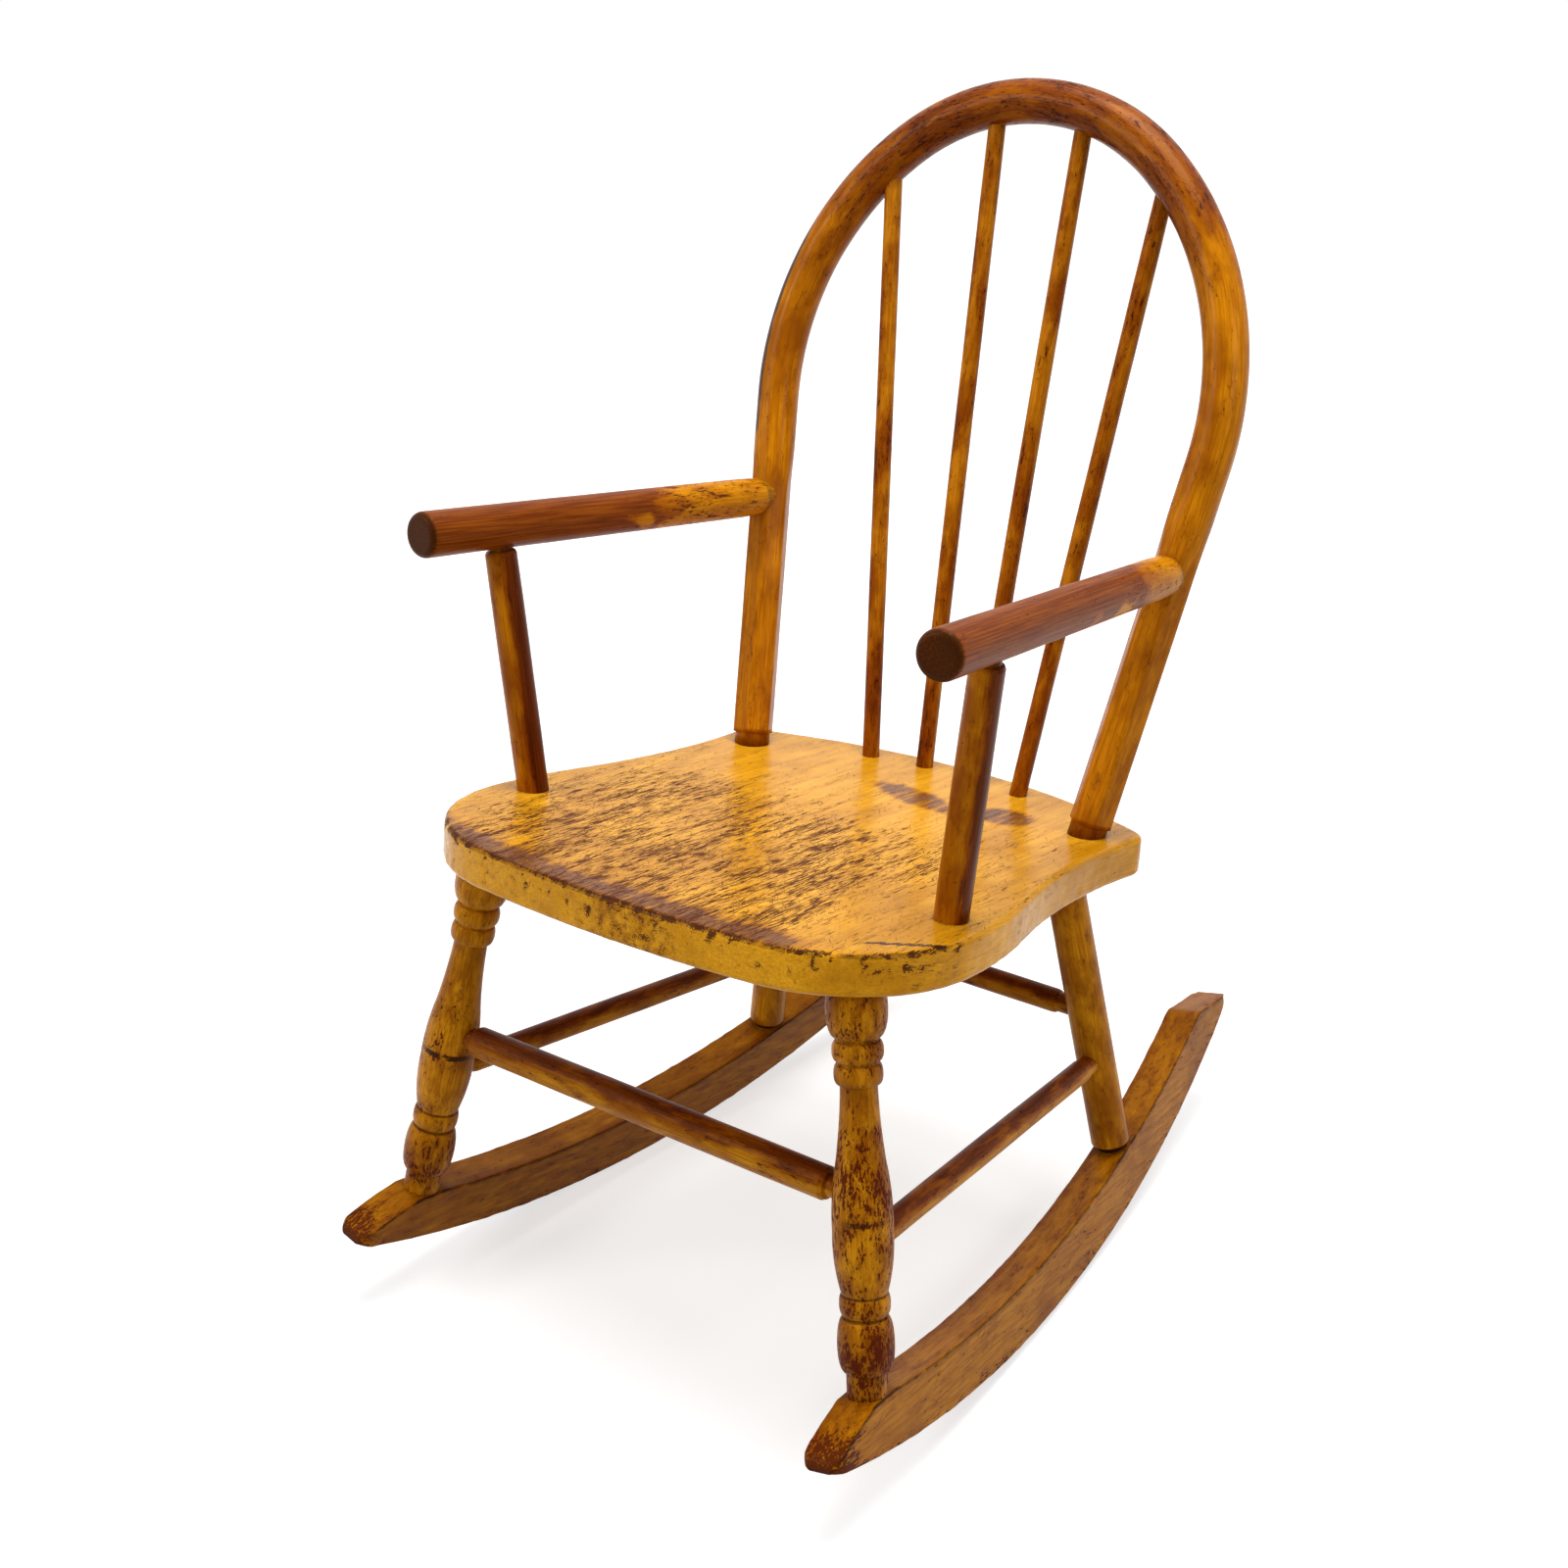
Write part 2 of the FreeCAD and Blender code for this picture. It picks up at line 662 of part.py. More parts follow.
def build_front_leg(doc, sizes, layout, word, side):
    """A turned front leg, from its foot tenon up: foot, bulb, ring, vase, beads and cap."""
    foot = layout.front_foot(side)
    top = layout.front_leg_top(side)
    start = reach_past(top, foot, sizes["foot_tenon_length"].value)
    body = new_body(doc, f"front_leg_{word}", placed_along(start, along(foot, top)))
    seat_line = sizes["foot_tenon_length"] + fixed((top - foot).Length)
    foot_top, bulb_top, ring_low, ring_top, belly, shoulder = stack(
        sizes["foot_tenon_length"] + sizes["foot_height"],
        (
            sizes["lower_bulb_height"],
            sizes["groove_height"],
            sizes["ring_height"],
            sizes["vase_belly_height"],
            sizes["vase_shoulder_height"],
        ),
    )
    cap_low = seat_line - sizes["cap_height"]
    upper_bead_top = cap_low - sizes["groove_height"]
    upper_bead_low = upper_bead_top - sizes["upper_bead_height"]
    lower_bead_top = upper_bead_low - sizes["groove_height"]
    lower_bead_low = lower_bead_top - sizes["lower_bead_height"]
    groove = sizes["groove_diameter"].half()
    neck = sizes["lower_bulb_neck_diameter"].half()
    ring = sizes["ring_diameter"].half()
    turn(body, f"front_leg_{word}", [
        (sizes["foot_diameter"].half(), sizes["foot_tenon_length"] - sizes["foot_scribe"], None),
        (sizes["foot_diameter"].half(), foot_top, None),
        (neck, foot_top, sizes["lower_bulb_diameter"].half() - neck),
        (neck, bulb_top, None),
        (neck, ring_low, None),
        (ring - sizes["ring_round"], ring_low, sizes["ring_round"]),
        (ring - sizes["ring_round"], ring_top, None),
        (sizes["vase_base_diameter"].half(), ring_top, sizes["vase_belly_swell"]),
        (sizes["vase_diameter"].half(), belly, sizes["vase_shoulder_swell"]),
        (sizes["vase_shoulder_diameter"].half(), shoulder, -sizes["vase_neck_hollow"]),
        (sizes["neck_diameter"].half(), lower_bead_low, None),
        (groove, lower_bead_low, sizes["lower_bead_diameter"].half() - groove),
        (groove, lower_bead_top, None),
        (groove, upper_bead_low, sizes["upper_bead_diameter"].half() - groove),
        (groove, upper_bead_top, None),
        (groove, cap_low, sizes["cap_diameter"].half() - groove),
        (sizes["leg_tenon_diameter"].half(), seat_line, None),
        (sizes["leg_tenon_diameter"].half(), seat_line + sizes["leg_tenon_length"], None),
    ])
    scribe_foot(doc, body, sizes, layout, side)
    tenon_length = sizes["foot_tenon_length"] + sizes["foot_height"]
    place = placed_along(vector(0, 0, 0), UP)
    add_rod(body, f"front_leg_{word}_tenon", place, sizes["foot_tenon_diameter"], tenon_length)
    stretcher = sizes["stretcher_tenon_diameter"]
    inward = layout.front_leg_at(-side, sizes["front_stretcher_height"].value)
    tip = layout.front_leg_at(side, sizes["front_stretcher_height"].value)
    depth = sizes["vase_diameter"].half()
    bore_socket(body, f"front_leg_{word}_front_socket", tip, inward, stretcher, depth, sizes)
    tip, rearward = side_stretcher_ends(sizes, layout, side)
    bore_socket(body, f"front_leg_{word}_side_socket", tip, rearward, stretcher, depth, sizes)
    return body


def scribe_foot(doc, body, sizes, layout, side):
    """Cut the foot to lie on the flat of the leaning rocker, a clearance above it."""
    place = body.Placement.inverse()
    foot = layout.front_foot(side)
    normal = place.Rotation.multVec(layout.rocker_place(side).Rotation.multVec(UP))
    size = sizes["foot_diameter"] + sizes["foot_diameter"]
    saw = body.newObject("PartDesign::SubtractiveBox", f"{body.Label}_scribe")
    bind(saw, "Length", size)
    bind(saw, "Width", size)
    bind(saw, "Height", size)
    turned = FreeCAD.Rotation(UP, normal)
    half = size.half().value
    below = turned.multVec(vector(-half, -half, sizes["joint_clearance"].value - size.value))
    saw.Placement = FreeCAD.Placement(place.multVec(foot) + below, turned)
    doc.recompute()


def build_rear_leg(doc, sizes, layout, word, side):
    """A plain round rear leg, cut square just above the rocker and stepped to a tenon."""
    foot = layout.rear_foot(side)
    top = layout.rear_leg_top(side)
    start = reach_past(top, foot, sizes["foot_tenon_length"].value)
    body = new_body(doc, f"rear_leg_{word}", placed_along(start, along(foot, top)))
    shoulder = sizes["foot_tenon_length"] + sizes["rear_foot_gap"]
    seat_line = sizes["foot_tenon_length"] + fixed((top - foot).Length)
    radius = sizes["rear_leg_diameter"].half()
    turn(body, f"rear_leg_{word}", [
        (sizes["rear_foot_tenon_diameter"].half(), NOTHING, None),
        (sizes["rear_foot_tenon_diameter"].half(), shoulder, None),
        (radius, shoulder, None),
        (radius, seat_line - sizes["rear_leg_shoulder_height"], None),
        (sizes["leg_tenon_diameter"].half(), seat_line, None),
        (sizes["leg_tenon_diameter"].half(), seat_line + sizes["leg_tenon_length"], None),
    ])
    stretcher = sizes["stretcher_tenon_diameter"]
    tip = layout.rear_leg_at(side, sizes["rear_stretcher_height"].value)
    inward = layout.rear_leg_at(-side, sizes["rear_stretcher_height"].value)
    bore_socket(body, f"rear_leg_{word}_rear_socket", tip, inward, stretcher, radius, sizes)
    forward, tip = side_stretcher_ends(sizes, layout, side)
    bore_socket(body, f"rear_leg_{word}_side_socket", tip, forward, stretcher, radius, sizes)
    return body


def side_stretcher_ends(sizes, layout, side):
    front = layout.front_leg_at(side, sizes["side_stretcher_front_height"].value)
    rear = layout.rear_leg_at(side, sizes["side_stretcher_rear_height"].value)
    return front, rear


def build_stretcher(doc, sizes, name, start, end, diameter):
    """A round stretcher with a narrower neck and tenon at each end."""
    body = new_body(doc, name, placed_along(start, along(start, end)))
    length = fixed((end - start).Length)
    tenon = sizes["stretcher_tenon_diameter"].half()
    radius = diameter.half()
    neck = sizes["stretcher_neck"]
    curve = sizes["stretcher_shoulder_round"]
    turn(body, name, [
        (tenon, NOTHING, None),
        (tenon, neck, None),
        (radius, neck + curve, None),
        (radius, length - neck - curve, None),
        (tenon, length - neck, None),
        (tenon, length, None),
    ])
    return body


def build_post(doc, sizes, layout, word, side):
    """A straight arm post: full size into the seat, a collar and a tenon under the arm."""
    base = layout.post_base(side)
    top = layout.post_top(side)
    start = reach_past(top, base, sizes["post_tenon_depth"].value)
    body = new_body(doc, f"arm_post_{word}", placed_along(start, along(base, top)))
    arm_line = sizes["post_tenon_depth"] + fixed((top - base).Length)
    collar = arm_line - sizes["arm_diameter"].half() - sizes["joint_clearance"]
    radius = sizes["post_diameter"].half()
    tenon = sizes["post_top_tenon_diameter"].half()
    curve = sizes["post_collar_round"]
    turn(body, f"arm_post_{word}", [
        (radius, NOTHING, None),
        (radius, collar - curve, None),
        (radius - curve, collar, None),
        (tenon, collar, None),
        (tenon, arm_line, None),
    ])
    return body


def build_arm(doc, sizes, layout, word, side):
    """A round arm with a rounded front end, coped at the rear to fit the hoop."""
    front = layout.arm_front(side)
    rear = layout.arm_rear(side)
    body = new_body(doc, f"arm_{word}", placed_along(front, along(front, rear)))
    length = fixed((rear - front).Length)
    radius = sizes["arm_diameter"].half()
    curve = sizes["arm_end_round"]
    bow = curve * (ONE_HALF.root() - ONE_HALF)
    turn(body, f"arm_{word}", [
        (radius - curve, NOTHING, bow),
        (radius, curve, None),
        (sizes["arm_rear_diameter"].half(), length - sizes["arm_tip_length"] - curve, None),
        (sizes["arm_tip_diameter"].half(), length, None),
    ])
    cope_rear(body, sizes, layout, word, side)
    tenon_start = length - sizes["arm_tenon_length"]
    place = placed_along(vector(0, 0, tenon_start.value), UP)
    tenon = sizes["arm_tenon_diameter"]
    add_rod(body, f"arm_{word}_tenon", place, tenon, sizes["arm_tenon_length"])
    tip = layout.post_top(side)
    base = layout.post_base(side)
    diameter = sizes["post_top_tenon_diameter"]
    bore_socket(body, f"arm_{word}_post_socket", tip, base, diameter, radius, sizes)
    return body


def cope_rear(body, sizes, layout, word, side):
    """Hollow the arm's rear end to lie against the hoop's rod."""
    to_body = body.Placement.inverse()
    place = layout.hoop_place()
    height = place.inverse().multVec(layout.arm_rear(side)).z
    span = sizes["arm_diameter"].value
    low = to_body.multVec(place.multVec(layout.hoop_leg_point(side, height - span)))
    high = to_body.multVec(place.multVec(layout.hoop_leg_point(side, height + span)))
    gap = sizes["joint_clearance"] + sizes["joint_clearance"]
    length = sizes["arm_diameter"] + sizes["arm_diameter"]
    diameter = sizes["hoop_diameter"] + gap
    add_rod(body, f"arm_{word}_cope", placed_along(low, along(low, high)), diameter, length,
            "Subtractive")


def hoop_foot(sizes, layout, side):
    """Where the hoop's rod ends in its shoulder, and the direction down into the seat."""
    place = layout.hoop_place()
    neck = sizes["hoop_neck_height"].value
    shoulder = layout.hoop_leg_point(side, neck)
    lean = math.radians(layout.hoop_leg_lean().value)
    down = vector(-side * math.sin(lean), 0, -math.cos(lean))
    return place.multVec(shoulder), place.Rotation.multVec(down)


def add_bend(body, name, centre, radius, start_degrees, sweep, sizes):
    """Add one bend of the hoop's rod: an arc in the plane of the hoop."""
    bend = body.newObject("PartDesign::AdditiveTorus", name)
    bind(bend, "Radius1", radius)
    bind(bend, "Radius2", sizes["hoop_diameter"].half())
    bind(bend, "Angle3", sweep)
    upright = FreeCAD.Rotation(ACROSS, QUARTER_TURN)
    turned = upright.multiply(FreeCAD.Rotation(UP, start_degrees))
    bend.Placement = FreeCAD.Placement(centre, turned)


def shave_leg(body, name, foot, up, side, sizes):
    """Add the foot of the hoop's leg, shaved to six flats within the round of the rod."""
    prism = body.newObject("PartDesign::AdditivePrism", name)
    prism.Polygon = HOOP_FLAT_COUNT
    bind(prism, "Circumradius", sizes["hoop_diameter"].half())
    bind(prism, "Height", sizes["hoop_flats_height"])
    start = HOOP_FLATS_TURN_DEGREES if side > 0 else HALF_TURN - HOOP_FLATS_TURN_DEGREES
    turned = FreeCAD.Rotation(UP, up).multiply(FreeCAD.Rotation(UP, start))
    prism.Placement = FreeCAD.Placement(foot, turned)


def build_hoop(doc, sizes, layout):
    """The bent hoop: a crown arc, two side arcs, and straight legs shaved to flats below."""
    body = new_body(doc, "hoop", layout.hoop_place())
    spring = sizes["hoop_spring_height"]
    crown = sizes["hoop_crown_radius"]
    shoulder = layout.hoop_shoulder_radius()
    shoulder_sweep = layout.hoop_shoulder_angle()
    crown_height = (spring + sizes["hoop_rise"] - crown).value
    crown_sweep = HALF_TURN_SWEEP - shoulder_sweep - shoulder_sweep
    crown_centre = vector(0, 0, crown_height)
    add_bend(body, "hoop_crown", crown_centre, crown, shoulder_sweep.value, crown_sweep, sizes)
    leg_lean = layout.hoop_leg_lean()
    flats = sizes["hoop_flats_height"]
    for word, side in LEFT_AND_RIGHT:
        outer = sizes["hoop_half_width"].value
        centre = vector(side * (outer - shoulder.value), 0, spring.value)
        start = -leg_lean.value if side > 0 else HALF_TURN - shoulder_sweep.value
        sweep = shoulder_sweep + leg_lean
        add_bend(body, f"hoop_side_{word}", centre, shoulder, start, sweep, sizes)
        to_body = body.Placement.inverse()
        foot, direction = hoop_foot(sizes, layout, side)
        foot_inside = to_body.multVec(foot)
        down = to_body.Rotation.multVec(direction)
        shave_leg(body, f"hoop_flats_{word}", foot_inside, -down, side, sizes)
        place = placed_along(foot_inside - down * flats.value, -down)
        length = layout.hoop_leg_length() - flats
        add_rod(body, f"hoop_leg_{word}", place, sizes["hoop_diameter"], length)
        place = placed_along(foot_inside, down)
        length = sizes["hoop_neck_height"] + sizes["hoop_tenon_depth"]
        add_rod(body, f"hoop_tenon_{word}", place, sizes["hoop_neck_diameter"], length)
    depth = sizes["hoop_diameter"].half()
    for word, side in LEFT_AND_RIGHT:
        for which in ("inner", "outer"):
            tip = layout.spindle_top(which, side)
            base = layout.spindle_base(which, side)
            diameter = sizes["spindle_diameter"]
            bore_socket(body, f"hoop_{which}_socket_{word}", tip, base, diameter, depth, sizes)
        tip = layout.arm_rear(side)
        front = layout.arm_front(side)
        diameter = sizes["arm_tenon_diameter"]
        bore_socket(body, f"hoop_arm_socket_{word}", tip, front, diameter, depth, sizes)
    return body


def build_spindle(doc, sizes, layout, which, word, side):
    """A slim round spindle from its socket in the seat to its socket in the hoop."""
    base = layout.spindle_base(which, side)
    top = layout.spindle_top(which, side)
    start = reach_past(top, base, sizes["spindle_tenon_depth"].value)
    body = new_body(doc, f"spindle_{which}_{word}", placed_along(start, along(base, top)))
    length = sizes["spindle_tenon_depth"] + fixed((top - base).Length)
    add_rod(body, f"spindle_{which}_{word}_rod", placed_along(vector(0, 0, 0), UP),
            sizes["spindle_diameter"], length)
    return body


def build_pieces(doc, sizes, layout):
    """Build every wooden piece of the chair and return the bodies."""
    bodies = [build_seat(doc, sizes, layout), build_hoop(doc, sizes, layout)]
    for word, side in LEFT_AND_RIGHT:
        bodies.append(build_rocker(doc, sizes, layout, word, side))
        bodies.append(build_front_leg(doc, sizes, layout, word, side))
        bodies.append(build_rear_leg(doc, sizes, layout, word, side))
        bodies.append(build_post(doc, sizes, layout, word, side))
        bodies.append(build_arm(doc, sizes, layout, word, side))
        front, rear = side_stretcher_ends(sizes, layout, side)
        diameter = sizes["side_stretcher_diameter"]
        bodies.append(build_stretcher(doc, sizes, f"side_stretcher_{word}", front, rear, diameter))
        for which in ("inner", "outer"):
            bodies.append(build_spindle(doc, sizes, layout, which, word, side))
    for which, leg_at in (("front", layout.front_leg_at), ("rear", layout.rear_leg_at)):
        height = sizes[f"{which}_stretcher_height"].value
        diameter = sizes[f"{which}_stretcher_diameter"]
        ends = (leg_at(1, height), leg_at(-1, height))
        bodies.append(build_stretcher(doc, sizes, f"{which}_stretcher", *ends, diameter))
    doc.recompute()
    return bodies


def check(doc, bodies):
    """Stop if any feature failed or any piece is not one valid solid."""
    for item in doc.Objects:
        if "Invalid" in item.State or "Error" in item.State:
            raise RuntimeError(f"{item.Label} failed: {item.State}")
    for body in bodies:
        shape = body.Shape
        if shape.isNull() or not shape.isValid() or len(shape.Solids) != 1:
            raise RuntimeError(f"{body.Label} is not one valid solid")


def balance_angle(bodies, sizes, layout):
    """Angle in degrees by which the empty chair tips back until it balances.

    The chair rolls until its centre of mass stands straight above the place where the
    rockers touch the floor. All pieces are taken as wood of one density.
    """
    mass = sum(body.Shape.Volume for body in bodies)
    moment = vector(0, 0, 0)
    for body in bodies:
        for solid in body.Shape.Solids:
            moment += solid.CenterOfMass * solid.Volume
    centre = moment * (1 / mass)
    low = 0
    high = sizes["foot_spacing"].value
    for _ in range(BALANCE_STEP_COUNT):
        middle = (low + high) / 2
        touch, run = standing_edge(fixed(middle), sizes, layout)
        if (centre.y - touch.y) * run.y + (centre.z - touch.z) * run.z > 0:
            low = middle
        else:
            high = middle
    return math.degrees(math.atan2(run.z, run.y))


def standing_edge(reach, sizes, layout):
    """Point and direction of the inner lower edge on which a leaning rocker stands."""
    place = layout.rocker_place(1)
    offset = (reach - sizes["rocker_low_point"]).value
    slope = offset / math.sqrt(sizes["rocker_radius"].value ** 2 - offset ** 2)
    inner = sizes["rocker_width"].half().value
    point = place.multVec(vector(reach.value, inner, layout.rocker_bottom(reach).value))
    return point, place.Rotation.multVec(vector(1, 0, slope))


def set_down(doc, bodies, sizes, layout):
    """Tip the chair to its balance and set it on the floor, centred on its own footprint."""
    tip = FreeCAD.Rotation(ACROSS, -balance_angle(bodies, sizes, layout))
    lean = FreeCAD.Placement(vector(0, 0, 0), tip)
    for body in bodies:
        body.Placement = lean.multiply(body.Placement)
    doc.recompute()
    box = Part.makeCompound([body.Shape for body in bodies]).optimalBoundingBox(False)
    middle = vector(box.Center.x, box.Center.y, box.ZMin)
    shift = FreeCAD.Placement(-middle, FreeCAD.Rotation())
    for body in bodies:
        body.Placement = shift.multiply(body.Placement)
    doc.recompute()


def main():
    doc = FreeCAD.newDocument("hoop_back_rocking_chair")
    sizes = make_sheet(doc)
    layout = Layout(sizes)
    bodies = build_pieces(doc, sizes, layout)
    check(doc, bodies)
    set_down(doc, bodies, sizes, layout)
    check(doc, bodies)
    os.makedirs("parts", exist_ok=True)
    for body in bodies:
        body.Shape.exportStep(os.path.join("parts", f"{body.Label}.step"))
        print(body.Label, round(body.Shape.Volume), "cubic mm")


main()
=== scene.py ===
import logging
import math
from collections.abc import Callable, Sequence
from dataclasses import dataclass
from enum import Enum
from functools import partial
from typing import NamedTuple

import bmesh
import bpy
from mathutils import Matrix, Vector, noise


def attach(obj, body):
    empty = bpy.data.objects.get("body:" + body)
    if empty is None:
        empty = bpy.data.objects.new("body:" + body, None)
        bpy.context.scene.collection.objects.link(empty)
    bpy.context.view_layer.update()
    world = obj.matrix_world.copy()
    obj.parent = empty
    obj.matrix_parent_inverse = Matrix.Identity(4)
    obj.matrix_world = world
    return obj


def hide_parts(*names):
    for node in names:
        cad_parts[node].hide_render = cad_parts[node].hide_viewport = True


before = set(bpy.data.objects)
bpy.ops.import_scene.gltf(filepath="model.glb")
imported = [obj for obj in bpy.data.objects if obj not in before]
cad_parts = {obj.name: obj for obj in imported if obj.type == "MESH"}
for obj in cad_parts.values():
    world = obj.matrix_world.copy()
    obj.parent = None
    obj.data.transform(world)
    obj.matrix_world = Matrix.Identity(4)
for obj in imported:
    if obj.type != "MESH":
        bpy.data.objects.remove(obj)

LOG = logging.getLogger("rocking_chair")
MM = 0.001
# Points closer than this are one, in mm.
TINY = 1e-6
# How far the extra ring beside a rounded edge stands off it, in mm, so that the flat stays flat.
CREASE = 0.35
# How far apart two pieces lie in the pattern of the wood, in mm.
BOARD_GAP = 37.0
# Powers under 1 make a turned curve fuller than a sine.
FULL_SWELL = 0.8
FULL_BEAD = 0.75
# A rounding's radius is never more than the height that it has, divided by this.
ROUNDING_PART = 2.2

Outline = list[tuple[float, float]]
Band = tuple[float, float]
Triple = tuple[float, float, float]
Blotch = tuple[float, float, float, float, float]
Tree = bpy.types.NodeTree
Socket = bpy.types.NodeSocket

# Settings that many nodes share.
SMOOTH = {"interpolation_type": "SMOOTHSTEP"}
MULTIPLY = {"operation": "MULTIPLY"}
MULTIPLY_ADD = {"operation": "MULTIPLY_ADD"}
LARGER = {"operation": "MAXIMUM"}
BLEND = {"data_type": "RGBA"}


class Side(Enum):
    """The sitter's left, which is the near side in the photograph, and the right."""

    LEFT = 1
    RIGHT = -1

    @property
    def word(self) -> str:
        """The side's word in the names of the nodes."""
        return self.name.lower()


class Spot(NamedTuple):
    """One point of a surface, in the chair's own frame and in mm.

    grain is the point's place in the wood, with its third number along the grain.
    marks holds how worn, how soiled and how chipped the paint is there, from 0 to 1. On the rockers' inner
    faces, one side of each post and the top arrises, the worn and soiled marks also hold painted shade.
    """

    place: Vector
    grain: Vector
    marks: Vector


MarkRule = Callable[[float, Vector, Vector], Vector]


def to_linear(code: str) -> tuple[float, float, float, float]:
    """Turn an sRGB hex colour into a linear colour.

    Args:
        code: The colour as "#RRGGBB".

    Returns:
        Red, green, blue and alpha for a shader socket.
    """
    parts = [int(code[place:place + 2], 16) / 255 for place in (1, 3, 5)]
    linear = [part / 12.92 if part <= 0.04045 else ((part + 0.055) / 1.055) ** 2.4 for part in parts]
    return (*linear, 1.0)


def ramp(value: float, low: float, high: float) -> float:
    """Rise smoothly from 0 at low to 1 at high, or fall where high is the smaller.

    Args:
        value: The number to place between the two.
        low: Where the result is 0.
        high: Where the result is 1.

    Returns:
        A number from 0 to 1.
    """
    share = min(max((value - low) / (high - low), 0.0), 1.0)
    return share * share * (3 - 2 * share)


def patch(place: Vector, size: float, seed: float) -> float:
    """Smooth noise from 0 to 1 for hand-worn patches.

    Args:
        place: A place in mm.
        size: The width of a patch in mm.
        seed: Which pattern to read.

    Returns:
        A number from 0 to 1.
    """
    return 0.5 + 0.5 * noise.noise(place / size + Vector((seed, seed * 1.7, -seed)))


@dataclass(frozen=True)
class ChairFrame:
    """How the chair's own frame, in mm with its seat level, stands on the floor."""

    tip_back_degrees: float = 7.597851
    shift_back: float = -74.4178
    lift: float = 2.3766

    def matrix(self) -> Matrix:
        """Stand the chair on the floor.

        Returns:
            The transform from the chair's frame in mm to the row frame in metres.
        """
        tip = Matrix.Rotation(math.radians(-self.tip_back_degrees), 4, "X")
        shift = Matrix.Translation((0, self.shift_back, self.lift))
        return Matrix.Scale(MM, 4) @ shift @ tip


STANDING = ChairFrame().matrix()


def add_node(tree: Tree, kind: str, settings: dict[str, object],
             links: dict[object, object] | Sequence[object]) -> bpy.types.Node:
    """Add one node to a material or world.

    Args:
        tree: The node tree.
        kind: The node's type.
        settings: Values for the node's own properties.
        links: For each input a socket to link or a value to hold, in order, or by name or number.

    Returns:
        The new node.
    """
    node = tree.nodes.new(kind)
    for name, value in settings.items():
        setattr(node, name, value)
    for key, value in links.items() if isinstance(links, dict) else enumerate(links):
        if isinstance(value, Socket):
            tree.links.new(value, node.inputs[key])
        else:
            node.inputs[key].default_value = value
    return node


def seen_by_eye(tree: Tree) -> Socket:
    """Tell what is seen of the room, straight or in gloss or glass, from the light it gives.

    Args:
        tree: The node tree of the floor or the world.

    Returns:
        1 for rays that are seen, and 0 for light.
    """
    ray = add_node(tree, "ShaderNodeLightPath", {}, ())
    seen = ray.outputs["Is Camera Ray"]
    for kind in ("Is Glossy Ray", "Is Transmission Ray"):
        seen = add_node(tree, "ShaderNodeMath", LARGER, (seen, ray.outputs[kind])).outputs[0]
    return seen


